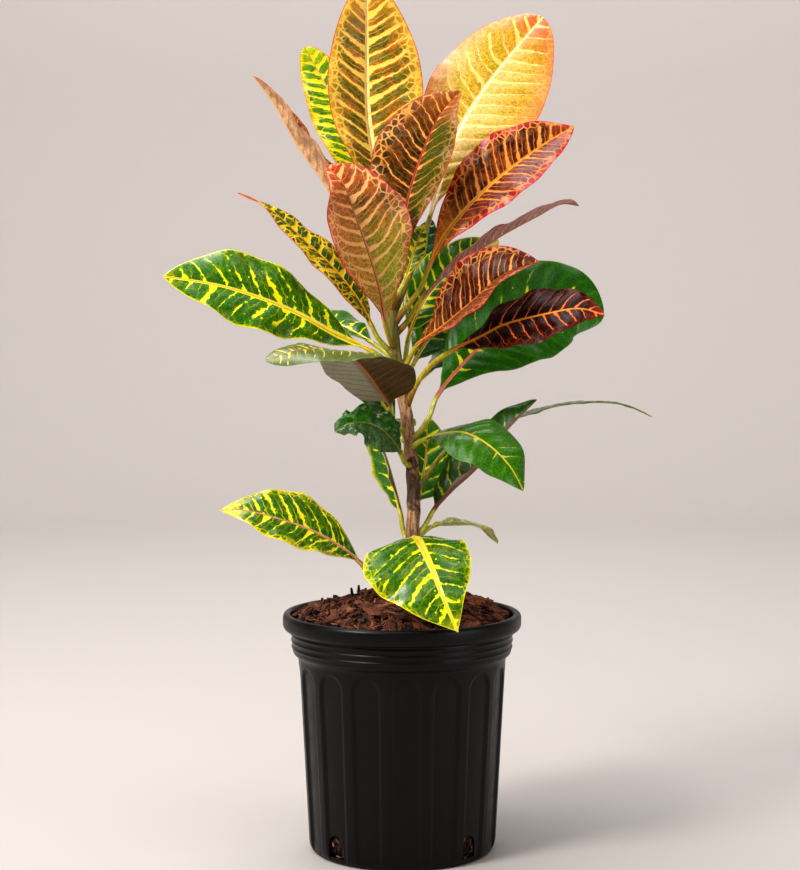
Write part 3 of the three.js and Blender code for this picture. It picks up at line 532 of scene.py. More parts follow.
class Field:
    """A value that a node tree works out. Arithmetic on it adds the nodes for it."""

    def __init__(self, socket):
        self.socket = socket
        self.tree = socket.id_data

    def math(self, operation, *others):
        return made(self.tree, "ShaderNodeMath", enumerate((self, *others)), operation=operation)

    def __add__(self, other):
        return self.math("ADD", other)

    def __sub__(self, other):
        return self.math("SUBTRACT", other)

    def __mul__(self, other):
        return self.math("MULTIPLY", other)

    def __truediv__(self, other):
        return self.math("DIVIDE", other)

    __radd__ = __add__
    __rmul__ = __mul__

    def __rsub__(self, other):
        return (self * -1) + other

    def size(self):
        return self.math("ABSOLUTE")

    def whole(self):
        return self.math("ROUND")

    def least(self, other):
        return self.math("MINIMUM", other)

    def most(self, other):
        return self.math("MAXIMUM", other)

    def above(self, other):
        return self.math("GREATER_THAN", other)

    def ramp(self, low, high, start=0.0, end=1.0):
        """start below low and end above high, with a soft step between them."""
        values = enumerate((self, low, high, start, end))
        return made(self.tree, "ShaderNodeMapRange", values, interpolation_type="SMOOTHSTEP")

    def fades(self, low, high):
        """1 below low and 0 above high."""
        return self.ramp(low, high, 1.0, 0.0)


def plug(socket, value):
    """Links a field to a socket, or sets the socket to a plain value."""
    if isinstance(value, Field):
        value.tree.links.new(value.socket, socket)
    else:
        socket.default_value = value


def feed(node, inputs):
    """Fills a node's inputs, by name or number."""
    for key, value in dict(inputs).items():
        plug(node.inputs[key], value)


def add_node(tree, kind, inputs=(), **settings):
    node = tree.nodes.new(kind)
    for key, value in settings.items():
        setattr(node, key, value)
    feed(node, inputs)
    return node


def made(tree, kind, inputs=(), output=0, **settings):
    """What a new node gives, as a field."""
    return Field(add_node(tree, kind, inputs, **settings).outputs[output])


def add_sockets(tree, way, kind, names):
    """Gives a node group an input or output of one kind for each name, with its value if it has one."""
    for name in names:
        socket = tree.interface.new_socket(name, in_out=way, socket_type="NodeSocket" + kind)
        if isinstance(names, dict):
            socket.default_value = names[name]


def fields_given(tree):
    """A node group's inputs by name, as fields."""
    entry = tree.nodes.new("NodeGroupInput")
    return {socket.name: Field(socket) for socket in entry.outputs if socket.name}


def parts_of(vector):
    node = add_node(vector.tree, "ShaderNodeSeparateXYZ", {0: vector})
    return [Field(socket) for socket in node.outputs]


def point_of(*parts):
    tree = next(part.tree for part in parts if isinstance(part, Field))
    return made(tree, "ShaderNodeCombineXYZ", enumerate(parts))


def grain(place, scale, detail=2.0, stretch=(1, 1, 1)):
    """Noise from 0 to 1. scale is in waves a unit of place."""
    scaled = made(place.tree, "ShaderNodeMapping", {"Vector": place, "Scale": stretch})
    return made(place.tree, "ShaderNodeTexNoise", {"Vector": scaled, "Scale": scale, "Detail": detail})


def cells(place, scale, feature="DISTANCE_TO_EDGE"):
    return add_node(place.tree, "ShaderNodeTexVoronoi", {"Vector": place, "Scale": scale}, feature=feature)


def tinted(share, first, second):
    """first where share is 0 and second where it is 1. Both are colours."""
    colours = {0: share, 6: first, 7: second}
    return made(share.tree, "ShaderNodeMix", colours, output=2, data_type="RGBA")


def shaded(colour, brightness):
    """A colour times a brightness field."""
    colours = {0: 1.0, 6: colour, 7: point_of(brightness, brightness, brightness)}
    return made(colour.tree, "ShaderNodeMix", colours, output=2, data_type="RGBA", blend_type="MULTIPLY")


def paint(code):
    """A colour from its six-digit screen code."""
    screen = [int(code[k : k + 2], 16) / 255 for k in (0, 2, 4)]
    return (*[c / 12.92 if c < 0.04045 else ((c + 0.055) / 1.055) ** 2.4 for c in screen], 1.0)


def new_material(name):
    """A material with its shader, ready for the tree that feeds it."""
    material = bpy.data.materials.new(name)
    material.use_nodes = True
    return material, material.node_tree, material.node_tree.nodes["Principled BSDF"]


def relief(shader, height, depth):
    """Feeds a height field to the shader as a bump that is depth millimetres deep."""
    bump = {"Height": height, "Distance": depth * MM, "Strength": 1.0}
    plug(shader.inputs["Normal"], made(height.tree, "ShaderNodeBump", bump))


def object_place(tree):
    """The point on the piece, in millimetres."""
    point = made(tree, "ShaderNodeTexCoord", output="Object")
    return made(tree, "ShaderNodeVectorMath", {0: point, "Scale": 1 / MM}, operation="SCALE")


def attribute(tree, name, output):
    """A named attribute of the mesh, for a material to read."""
    return made(tree, "ShaderNodeAttribute", output=output, attribute_name=name)


# ---- The pattern of a croton leaf ----

PATTERN_COLOURS = dict(
    vein="F3C654", cell="8F6A14", mottle="C9791C", margin="C4502F", edge="B4402A", rib="F5CF7C",
    rib_line="D9744A", base="6A5A18", tip="D98A2A", half_tint_and_sheen="8F6A14", under="C9A070",
    under_vein="E0C8A0", under_blotch="4A3A1C", stalk="9A8F2C", foot="6B4A26",
)
PATTERN_NUMBERS = dict(
    vein_width=1.7, vein_reach=0.9, patchy=0.3, spots=0.0, net=0.7, net_start=0.55, net_width=0.13,
    band=0.3, base_share=0.2, tip_share=0.15, half_tint_and_sheen_side=0.0, half_tint_and_sheen_veins=1.0, rib_width=2.2,
    vein_gap=9.5, seed=0.0,
)


def side_veins(given, place, reach, right, vein_count):
    """Side veins with a width and a length of their own. Gives where they are, how wide the nearest
    is, how far away it is in millimetres, and its luck."""
    count = vein_count + right * 0.5 + (grain(place, 0.3) - 0.5) * 0.3
    number = count.whole()
    away = (count - number).size() * given["vein_gap"]
    throw = {"Vector": point_of(number, right, given["seed"])}
    dice = made(place.tree, "ShaderNodeTexWhiteNoise", throw, output="Color", noise_dimensions="3D")
    luck, length_luck, _ = parts_of(dice)
    blots = (grain(place, 0.17, 3.0) - 0.5) * given["patchy"] * 7.0
    flare = reach.ramp(0.0, 0.3, 1.55, 1.0) - reach * 0.5
    width = given["vein_width"] * (luck * 1.15 + 0.38) * flare * (1.0 + blots).most(0.0)
    vein = away.fades(width * 0.5 - 0.3, width * 0.5 + 0.3) * width.ramp(0.1, 0.5)
    limit = 1.0 - (1.0 - given["vein_reach"]) * (length_luck * 1.6 + 0.1)
    vein = vein * reach.fades(limit - 0.1, limit + 0.06)
    return vein, width, away, luck


def vein_net(given, place, reach, away, luck):
    """Thin veins half way between the side veins, the net that joins them towards the margin, a
    finer net, spots, and the distance to the finer net's lines."""
    middle = (given["vein_gap"] * 0.5 - away).size()
    thin = middle.fades(0.15, 0.5) * reach.fades(0.25, 0.75) * given["net"] * luck
    net_edge = Field(cells(place, 0.2).outputs["Distance"])
    net_start = given["net_start"]
    loops = net_edge.fades(given["net_width"] - 0.09, given["net_width"])
    loops = loops * reach.ramp(net_start, net_start + 0.3) * given["net"]
    fine_edge = Field(cells(place, 0.85).outputs["Distance"])
    fine = fine_edge.fades(0.03, 0.25) * given["net"] * grain(place, 0.2).ramp(0.4, 0.7) * 0.25
    spot = cells(place, 0.23, "F1")
    chance, _, _ = parts_of(Field(spot.outputs["Color"]))
    spot_size = (chance - 1.0 + given["spots"]).most(0.0) * 0.5
    spots = Field(spot.outputs["Distance"]).fades(spot_size - 0.08, spot_size)
    spots = spots * spot_size.above(0.02)
    return thin, loops, fine, spots, fine_edge


def leaf_tissue(given, place, reach, along, away, width, half_tint_and_sheen):
    """The tissue between the veins. Gives its colour, its patches and the band along the margin."""
    patches = grain(place, 0.09, 4.0).ramp(0.38, 0.62)
    core = (away - width * 0.5).ramp(0.1, 2.4)
    warm = ((1.0 - core) * 0.75 + (patches - 0.4) * 0.7).most(0.0).least(1.0)
    cell = tinted(warm, given["cell"], given["mottle"])
    near_base = along.fades(given["base_share"] * 0.4, given["base_share"] * 1.6)
    cell = tinted(near_base * given["base_share"].above(0.01), cell, given["base"])
    # the half tint, which is a painted sheen on some leaves
    cell = tinted(half_tint_and_sheen * 0.85, cell, given["half_tint_and_sheen"])
    tip_start = 1.0 - given["tip_share"] * 1.5
    near_tip = (along + (grain(place, 0.15) - 0.5) * 0.12).ramp(tip_start, tip_start + 0.2)
    cell = shaded(cell, grain(place, 0.8, 4.0).ramp(0.3, 0.7, 0.6, 1.4))
    cell = tinted(near_tip * 0.95, cell, given["tip"])
    margin = reach + (grain(place, 0.25) - 0.5) * 0.16
    band = margin.ramp(1.0 - given["band"], 1.02) * 0.85
    cell = tinted(band, cell, given["margin"])
    return cell, patches, band


def leaf_underside(given, place, away, from_rib, fine_edge, patches, half_tint_and_sheen):
    """The paler underside, with its own blotches, veins and rib."""
    below = tinted(patches * 0.6, given["under"], given["under_blotch"])
    below = shaded(below, grain(place, 0.5, 3.0).ramp(0.25, 0.75, 0.75, 1.2))
    # the half tint on the underside too, a painted sheen where the leaf has one
    below = tinted(half_tint_and_sheen * 0.9, below, given["half_tint_and_sheen"])
    strand = away.fades(0.15, 0.7) * 0.8
    strand = strand.most(fine_edge.ramp(0.0, 0.12, 0.45, 0.0))
    below = tinted(strand, below, given["under_vein"])
    rib_edge = given["rib_width"] * 0.42
    return tinted(from_rib.fades(rib_edge, rib_edge + 0.6), below, given["rib"])


def stalk_colour(given, along):
    """The stalk, browner towards its foot and streaked."""
    place = object_place(along.tree)
    stalk = tinted(along.ramp(-1.0, -0.45), given["foot"], given["stalk"])
    streaks = grain(place, 0.6, 3.0, (1, 1, 0.3)).ramp(0.3, 0.7, 0.75, 1.2)
    return shaded(stalk, streaks)


def leaf_pattern():
    """The node group that every leaf shares. It reads the leaf's own two attributes: blade is the
    place across (-1 to 1), along (0 to 1, and below 0 on the stalk) and in side veins; flat is the
    half's width and the way along in millimetres, and 1 on the underside."""
    tree = bpy.data.node_groups.new("leaf_pattern", "ShaderNodeTree")
    add_sockets(tree, "INPUT", "Color", {key: paint(code) for key, code in PATTERN_COLOURS.items()})
    add_sockets(tree, "INPUT", "Float", PATTERN_NUMBERS)
    add_sockets(tree, "OUTPUT", "Color", ["colour"])
    add_sockets(tree, "OUTPUT", "Float", ["roughness", "height"])
    given = fields_given(tree)

    across, along, vein_count = parts_of(attribute(tree, "blade", "Vector"))
    half, way, under = parts_of(attribute(tree, "flat", "Vector"))
    reach = across.size()
    right = across.above(0.0)
    place = point_of(across * half, way, given["seed"] * 37.0)
    vein, width, away, luck = side_veins(given, place, reach, right, vein_count)
    thin, loops, fine, spots, fine_edge = vein_net(given, place, reach, away, luck)

    from_rib = (across * half).size()
    rib_half = given["rib_width"] * 0.5 * along.ramp(-0.2, 1.1, 1.15, 0.3)
    rib = from_rib.fades(rib_half - 0.2, rib_half + 0.35)
    rib_line = from_rib.fades(0.15, 0.45)
    # one half of the blade tinted: on most leaves its own colour, on arched_brown and torn_dark a painted
    # grey sheen, a painted reflection
    half_tint_and_sheen = (across * given["half_tint_and_sheen_side"]).ramp(0.0, 0.25) * given["half_tint_and_sheen_side"].size()
    lit = vein.most(thin).most(loops).most(fine).most(spots)
    lit = lit * (1.0 - half_tint_and_sheen * (1.0 - given["half_tint_and_sheen_veins"]))
    cell, patches, band = leaf_tissue(given, place, reach, along, away, width, half_tint_and_sheen)

    line = ((1.0 - reach) * half).fades(0.35, 0.75) * along.above(0.02)
    vein_colour = tinted(band * 0.45, given["vein"], given["margin"])
    colour = tinted(lit, cell, vein_colour)
    colour = tinted(rib, colour, given["rib"])
    colour = tinted(rib_line * 0.85, colour, given["rib_line"])
    colour = tinted(line, colour, given["edge"])
    below = leaf_underside(given, place, away, from_rib, fine_edge, patches, half_tint_and_sheen)
    colour = tinted(under, colour, below)
    stalk = stalk_colour(given, along)
    colour = tinted(along.fades(-0.04, 0.03), colour, stalk)

    gloss = grain(place, 0.12, 3.0).ramp(0.3, 0.7, 0.18, 0.3) + lit * 0.05 + under * 0.2
    height = (1.0 - vein * 0.8 - rib_line * 0.6 - fine * 0.5) + grain(place, 1.3, 3.0) * 0.35
    feed(tree.nodes.new("NodeGroupOutput"), enumerate((colour, gloss, height)))
    return tree


# ---- The leaves ----


def half_width(leaf, half, along):
    """A half's width: narrow at its base, fuller towards the tip, with a tail where the leaf has one."""
    share = np.minimum(along / (1 - leaf["tail"]), 1)
    swell = np.sin(math.pi * share ** (math.log(0.5) / math.log(leaf["widest"])))
    width = half * np.maximum(swell, 0) ** between(BASE_TAPER, leaf["taper"], share)
    if leaf["ragged"]:
        notches = np.abs(ripples(along * 5, share * 0, 5)) ** 0.5
        width = width * (1 - leaf["ragged"] * notches * smooth_step(along, 0.1, 0.35))
    return np.maximum(width, between(BASE_HALF_WIDTH, TIP_HALF_WIDTH, along))


def blade_form(leaf, seed, across, along, way):
    """Each point's half width, the turn of the blade there, how far out and up it lies, and its
    place in side veins."""
    right = (across >= 0).astype(int)
    reach = np.abs(across)
    left_width, right_width = (half_width(leaf, half, along) for half in leaf["width"])
    width = np.where(right, right_width, left_width)
    rise = np.radians(np.where(right, leaf["fold"][1], leaf["fold"][0]))
    bend = math.radians(leaf["bend"])
    turn = rise - bend * reach
    out = width * (np.sin(rise) - np.sin(turn)) / bend
    lift = width * (np.cos(turn) - np.cos(rise)) / bend
    swing = np.sin(math.pi * np.clip(along, 0, 1)) ** 0.5
    ripple = leaf["wave"] * reach**2 * swing
    ripple = ripple * np.sin(2 * math.pi * leaf["waves"] * along + right * MARGIN_LAG)
    ripple = ripple + 0.5 * reach**3 * swing * ripples(way / 14, right * 3.0, seed)

    veins = (way - width * (VEIN_LEAN * reach + VEIN_CURVE * reach**2)) / leaf["vein_gap"]
    veins = veins + VEIN_WOBBLE * ripples(across * width / 34, way / 40, seed + 1)
    nearest = np.abs((veins + 0.5 * right) - np.round(veins + 0.5 * right))
    quilt = np.sin(math.pi * np.minimum(nearest, 0.5)) ** 0.7 * np.sin(math.pi * reach) ** 0.6 * swing
    crumple = leaf["crumple"] * reach * swing * ripples(way / 9, across * width / 11, seed + 2)
    return width, turn, out, lift + ripple + QUILTING * quilt + crumple, veins


def leaf_piece(leaf, seed):
    """One leaf with its stalk, on the same centre line and outline as its solid, quilted between
    its side veins."""
    root = trunk_at(leaf["start"])[0]
    line = centre_line([root, *leaf["stalk"], *leaf["midrib"]])
    steps = np.linalg.norm(np.diff(line, axis=0), axis=1)
    total = steps.sum()
    stalk_length = steps[: CURVE_STEPS * (len(leaf["stalk"]) + 1)].sum()
    on_stalk = np.concatenate([np.linspace(0, 1, STALK_ROWS, endpoint=False), np.ones(BLADE_ROWS + 1)])
    along = np.concatenate([np.zeros(STALK_ROWS), np.linspace(0, 1, BLADE_ROWS + 1)])
    distance = stalk_length * on_stalk + (total - stalk_length) * along
    centre, forward = walk(line, distance)
    base_face, tip_face = lengthwise(np.array(leaf["face"], float))
    face = between(base_face, tip_face, along[:, None])
    up = lengthwise(face - forward * np.sum(face * forward, axis=1, keepdims=True))
    side = np.cross(forward, up)

    def spread(over_side, over_up):
        return side[:, None, :] * over_side[..., None] + up[:, None, :] * over_up[..., None]

    share = np.linspace(0, 1, HALF_COLUMNS + 1) ** 1.25
    across = np.concatenate([-share[:0:-1], share])[None, :]
    hand = np.where(across >= 0, 1, -1)
    reach = np.abs(across)
    along = along[:, None]
    way = distance[:, None] - stalk_length
    width, turn, out, lift, veins = blade_form(leaf, seed, across, along, way)
    skin_way = spread(-hand * np.sin(turn) + 0 * way, np.cos(turn) + 0 * way)
    middle = centre[:, None, :] + spread(hand * out, lift)
    from_rib = reach * width
    thickness = BLADE_THICKNESS * (1 - MARGIN_THINNING * reach**6)
    rib = np.sqrt(np.maximum(1 - (from_rib / MIDRIB_HALF_WIDTH) ** 2, 0)) * MIDRIB_DEPTH * (1 - along)
    groove = MIDRIB_GROOVE * np.maximum(1 - from_rib / GROOVE_HALF_WIDTH, 0) * (1 - along)
    upper_blade = middle + skin_way * (thickness / 2 - groove)[..., None]
    lower_blade = middle - skin_way * (thickness / 2 + rib)[..., None]

    columns = across.shape[1]
    angle = np.radians(180 * (1 - (np.arange(columns) + 0.5) / columns))[None, :]
    radius = between(STALK_FOOT_RADIUS, STALK_RADIUS, smooth_step(on_stalk, 0, 0.6))[:, None]
    circle = centre[:, None, :] + spread(radius * np.cos(angle), radius * np.sin(angle))
    mirror = centre[:, None, :] + spread(radius * np.cos(angle), -radius * np.sin(angle))
    flatness = smooth_step(along, 0, FLATTENING)[..., None]
    upper = between(circle, upper_blade, flatness)
    lower = between(mirror, lower_blade, flatness)

    blade = np.stack(np.broadcast_arrays(across, along + on_stalk[:, None] - 1, veins), axis=-1)
    flat = np.stack(np.broadcast_arrays(width, way, 0.0), axis=-1)
    values = {
        "blade": np.concatenate([blade, blade[:, ::-1]], axis=1),
        "flat": np.concatenate([flat, (flat + [0, 0, 1.0])[:, ::-1]], axis=1),
    }
    rings = np.concatenate([upper, lower[:, ::-1]], axis=1)
    piece = skin("foliage_" + leaf["name"], rings, "strips", values)
    piece.data.materials.append(leaf_material(leaf, seed))
    return piece


def leaf_material(leaf, seed):
    look = {"shine": 0.32, **leaf["look"]}
    shine = look.pop("shine")
    material, tree, shader = new_material("leaf_" + leaf["name"])
    group = add_node(tree, "ShaderNodeGroup", node_tree=PATTERN)
    colours = {key: paint(value) if isinstance(value, str) else value for key, value in look.items()}
    feed(group, {**colours, "vein_gap": leaf["vein_gap"], "seed": float(seed)})
    feed(shader, {
        "Base Color": Field(group.outputs["colour"]), "Roughness": Field(group.outputs["roughness"]),
        "Specular IOR Level": shine, "Coat Weight": shine * 0.3, "Coat Roughness": 0.12,
    })
    relief(shader, Field(group.outputs["height"]), 0.3)
    return material


# ---- The pot ----


def body_radius(height):
    return between(BODY_BOTTOM_RADIUS, BODY_TOP_RADIUS, (height - FOOT_ROUND) / (BODY_TOP - FOOT_ROUND))


def corner(start, knee, end, steps):
    """Points of a rounded corner from start to end, drawn towards knee."""
    share = np.linspace(0, 1, steps)[:, None]
    start, knee, end = (np.array(point, float) for point in (start, knee, end))
    return (start * (1 - share) ** 2 + 2 * knee * share * (1 - share) + end * share**2).tolist()


def collar_outline(lip_bottom):
    """The collar's wall with its soft beads, widening up to the lip."""
    rows = []
    for z in np.arange(COLLAR_START[1] + 0.4, lip_bottom - 0.4, 0.3):
        bulge = sum(math.exp(-(((z - bead) / COLLAR_BEAD_HEIGHT) ** 2)) for bead in COLLAR_BEADS)
        widening = COLLAR_TAPER * (z - COLLAR_BOTTOM) / (lip_bottom - COLLAR_BOTTOM)
        rows.append([COLLAR_RADIUS + widening + COLLAR_BEAD * bulge, z])
    return rows


def lip_outline(lip_bottom):
    """The rolled lip, from the collar round to its inside."""
    outer, inner, top = LIP_RADIUS, LIP_INNER_RADIUS, POT_HEIGHT
    across, down = LIP_TOP_ROUND
    inner_across, inner_down = LIP_INNER_ROUND
    under = (COLLAR_RADIUS + COLLAR_TAPER + 0.2, lip_bottom)
    return [
        *corner(under, (outer, lip_bottom), (outer, lip_bottom + LIP_UNDER_ROUND), 11),
        *[[outer, lip_bottom + LIP_UNDER_ROUND + k] for k in (1, 2)],
        *corner((outer, top - down), (outer, top), (outer - across, top), 9),
        *corner((inner + inner_across, top), (inner, top), (inner, top - inner_down), 6),
    ]


def pot_outline():
    """The pot's section, from the middle of its underside, up the outside and down the inside."""
    lip_bottom = POT_HEIGHT - LIP_DROP
    shoulder = BODY_TOP - SHOULDER_DROP
    waist = (body_radius(shoulder) + COLLAR_RADIUS) / 2
    knee, start = COLLAR_START
    heights = [*np.arange(FOOT_ROUND + 3, FINE_FROM, 3.5), *np.arange(FINE_FROM, shoulder, 0.6)]
    foot_end = (body_radius(FOOT_ROUND), FOOT_ROUND)
    shoulder_start = (body_radius(shoulder), shoulder)
    shoulder_knee = (body_radius(shoulder), SHOULDER_KNEE)
    return np.array([
        *[[radius, 0] for radius in (FLOOR_MIDDLE, 30, 50)],
        *corner((FOOT_RADIUS, 0), (FOOT_RADIUS + 4, 0.3), foot_end, 12),
        *[[body_radius(z), z] for z in heights],
        *corner(shoulder_start, shoulder_knee, (waist, WAIST_HEIGHT), 8),
        *corner((waist + 0.3, WAIST_HEIGHT + 0.3), (COLLAR_RADIUS, knee), (COLLAR_RADIUS + 0.1, start), 7),
        *collar_outline(lip_bottom),
        *lip_outline(lip_bottom),
        [COLLAR_RADIUS - WALL, lip_bottom - 6],
        [COLLAR_RADIUS - WALL, COLLAR_BOTTOM],
        [body_radius(shoulder) - WALL, shoulder],
        [body_radius(FOOT_ROUND) - WALL, FOOT_ROUND],
        [FOOT_RADIUS - 1, FLOOR],
        [FLOOR_MIDDLE, FLOOR],
    ])


def flute_tree():
    """Presses a row of arch-topped flutes into a turned wall."""
    tree = bpy.data.node_groups.new("press_flutes", "GeometryNodeTree")
    add_sockets(tree, "INPUT", "Geometry", ["Geometry"])
    add_sockets(tree, "INPUT", "Float", {
        "Count": FLUTE_COUNT, "Turn": math.radians(FLUTE_TURN), "Depth": FLUTE_DEPTH, "Edge": FLUTE_EDGE,
        "Top": FLUTE_TOP, "Top Width": FLUTE_TOP_WIDTH, "Bottom Width": FLUTE_BOTTOM_WIDTH,
        "Wall Bottom Radius": body_radius(0), "Wall Top Radius": body_radius(FLUTE_TOP),
    })
    add_sockets(tree, "INPUT", "Material", ["Material"])
    add_sockets(tree, "OUTPUT", "Geometry", ["Geometry"])
    given = fields_given(tree)
    x, y, z = [part / MM for part in parts_of(made(tree, "GeometryNodeInputPosition"))]
    radius = (x * x + y * y).math("SQRT")
    step = given["Count"].math("POWER", -1.0) * 2 * math.pi
    turned = (x.math("ARCTAN2", y * -1) - given["Turn"]) / step
    from_middle = (turned - turned.whole()).size() * step * radius
    height_share = z / given["Top"]
    half = (given["Bottom Width"] * (1.0 - height_share) + given["Top Width"] * height_share) * 0.5
    spring = given["Top"] - given["Top Width"] * 0.5
    over = (z - spring).most(0.0)
    inside = half - (from_middle * from_middle + over * over).math("SQRT")
    pressed = inside.ramp(-0.25, given["Edge"])
    wall = given["Wall Bottom Radius"] * (1.0 - height_share) + given["Wall Top Radius"] * height_share
    sunk = wall - given["Depth"] * pressed
    shrink = (radius - sunk).most(0.0) * pressed.above(0.0)
    scale = 1.0 - shrink / radius
    outer = made(tree, "GeometryNodeInputNamedAttribute", {"Name": "outer"})
    scale = 1.0 - (1.0 - scale) * outer
    moved = point_of(x * scale * MM, y * scale * MM, z * MM)
    inputs = {"Geometry": given["Geometry"], "Position": moved}
    finish_tree(made(tree, "GeometryNodeSetPosition", inputs), given["Material"])
    return tree


def finish_tree(geometry, material):
    """The end of each geometry tree: real mesh, with its material."""
    tree = geometry.tree
    real = made(tree, "GeometryNodeRealizeInstances", {"Geometry": geometry})
    dressed = made(tree, "GeometryNodeSetMaterial", {"Geometry": real, "Material": material})
    plug(tree.nodes.new("NodeGroupOutput").inputs[0], dressed)


def run_tree(source, tree, name, **inputs):
    """Runs a geometry tree on a source object and keeps the result as a plain mesh piece."""
    modifier = source.modifiers.new(tree.name, "NODES")
    modifier.node_group = tree
    for key, value in inputs.items():
        modifier[tree.interface.items_tree[key].identifier] = value
    return plain_mesh(source, name)


def drain_cutter(degrees):
    """An arch-topped plug that cuts one drain hole."""
    radius = DRAIN_WIDTH / 2
    arch = [(-radius, 0, DRAIN_BOTTOM), (radius, 0, DRAIN_BOTTOM)]
    for angle in np.radians(np.linspace(0, 180, 17)):
        arch.append((radius * math.cos(angle), 0, DRAIN_TOP - radius + radius * math.sin(angle)))
    rings = np.stack([np.array(arch) - (0, FOOT_RADIUS + reach, 0) for reach in DRAIN_CUT])
    cos, sin = math.cos(math.radians(degrees)), math.sin(math.radians(degrees))
    return skin("drain_cutter", rings @ np.array([[cos, sin, 0], [-sin, cos, 0], [0, 0, 1]]), "fans")


def pot_piece():
    outline = pot_outline()
    rings = revolve(outline, POT_SIDES)
    outer = np.zeros(rings.shape[:2])
    outer[: np.argmax(outline[:, 1] >= BODY_TOP)] = 1
    wall = skin("turned_wall", rings, "fans")
    mark = wall.data.attributes.new("outer", "FLOAT", "POINT")
    mark.data.foreach_set("value", np.append(outer, (0, 0)).astype(np.float32))
    pot = run_tree(wall, flute_tree(), "nursery_pot", Material=pot_material())
    for degrees in DRAIN_ANGLES:
        cutter = drain_cutter(degrees)
        cut = pot.modifiers.new("drain", "BOOLEAN")
        cut.operation = "DIFFERENCE"
        cut.solver = "MANIFOLD"
        cut.object = cutter
        pot = plain_mesh(pot, "nursery_pot")
        bpy.data.objects.remove(cutter)
    smoothed(pot, POT_SHARP_FROM)
    shown(pot, "pot")


def pot_material():
    material, tree, shader = new_material("black_pot_plastic")
    place = object_place(tree)
    dust = grain(place, 0.035, 5.0).ramp(0.45, 0.8)
    feed(shader, {
        "Base Color": tinted(dust * 0.5, paint("040405"), paint("0F0E0E")),
        "Roughness": grain(place, 0.08, 4.0).ramp(0.3, 0.7, 0.3, 0.4),
        "Specular IOR Level": 0.24,
    })
    streaks = grain(place, 0.12, 3.0, (1, 1, 0.12))
    relief(shader, grain(place, 1.6, 2.0) * 0.5 + streaks * 0.6, 0.09)
    return material


# ---- The bark mix ----


def soil_height(x, y):
    """The height of the bark, as on its solid."""
    radius = np.minimum(np.hypot(x, y) / LIP_INNER_RADIUS, 1)
    crown = between(SOIL_CROWN, SOIL_EDGE, radius**3.5)
    broad, narrow = LUMPS
    lumps = broad * np.sin(x / 9 + 1) * np.cos(y / 11) + narrow * np.sin((x + y) / 6)
    (place_x, place_y), (size_x, size_y) = MOUND_PLACE, MOUND_SIZE
    mound = MOUND_HEIGHT * np.exp(-(((x - place_x) / size_x) ** 2) - ((y - place_y) / size_y) ** 2)
    return crown + (lumps + mound) * (1 - radius**6)


def soil_piece():
    """The crumbs under the chips, with the root ball that shows through the drain holes."""
    side = [[radius, FLOOR + SOIL_FLOOR_GAP] for radius in (FLOOR_MIDDLE, FOOT_RADIUS - 4)]
    side += [[FOOT_RADIUS - 2, FLOOR + 2]]
    side += [[body_radius(z) - WALL - SOIL_BODY_GAP, z] for z in (FOOT_ROUND, 30, 80, BODY_TOP - 4)]
    side += [[COLLAR_RADIUS - WALL - SOIL_COLLAR_GAP, z] for z in (COLLAR_BOTTOM + 2, 150)]
    top = [[radius, SOIL_EDGE] for radius in np.arange(SOIL_RADIUS, 1, -1.5)]
    rings = revolve(np.array(side + top), SOIL_SIDES)
    surface = rings[len(side) :]
    x, y = surface[..., 0], surface[..., 1]
    crumbs = 0.9 * ripples(x / 7, y / 7, 3) + 0.5 * ripples(x / 3, y / 3, 4)
    surface[..., 2] = soil_height(x, y) - SOIL_SINK + crumbs
    soil = skin("bark_crumbs", rings, "fans")
    # dark crumbs: their own dark colour, and painted shade in the gaps between the chips
    soil.data.materials.append(bark_material("bark_crumbs", "22130C", "54301F"))
    shown(soil, "bark_mix")


def chip_field():
    """The surface that chips are strewn on, which isn't kept."""
    rings = revolve(np.array([[radius, 0] for radius in np.arange(0.5, CHIP_FIELD + 0.1, 2.5)]), 96)
    rings[..., 2] = soil_height(rings[..., 0], rings[..., 1]) - SOIL_SINK
    _, quads = ring_quads(*rings.shape[:2])
    return new_piece("chip_field", rings.reshape(-1, 3), quads[:, ::-1])


def drain_field():
    """The patches of the root ball behind the drain holes, for chips to lie on."""
    rows = len(DRAIN_FIELD_HEIGHTS)
    points, faces = [], []
    for degrees in DRAIN_ANGLES:
        first = len(points)
        for angle in np.radians([degrees + turn for turn in DRAIN_FIELD_TURNS]):
            x, y = ROOT_BALL_RADIUS * math.sin(angle), -ROOT_BALL_RADIUS * math.cos(angle)
            points += [(x, y, z) for z in DRAIN_FIELD_HEIGHTS]
        for column in range(len(DRAIN_FIELD_TURNS) - 1):
            for k in range(first + rows * column, first + rows * (column + 1) - 1):
                faces.append([k, k + rows, k + rows + 1, k + 1])
    return new_piece("drain_field", points, faces)


def random_value(tree, low, high, seed):
    """A random number for each point."""
    limits = {2: low, 3: high, "Seed": seed}
    return made(tree, "FunctionNodeRandomValue", limits, output=1, data_type="FLOAT")


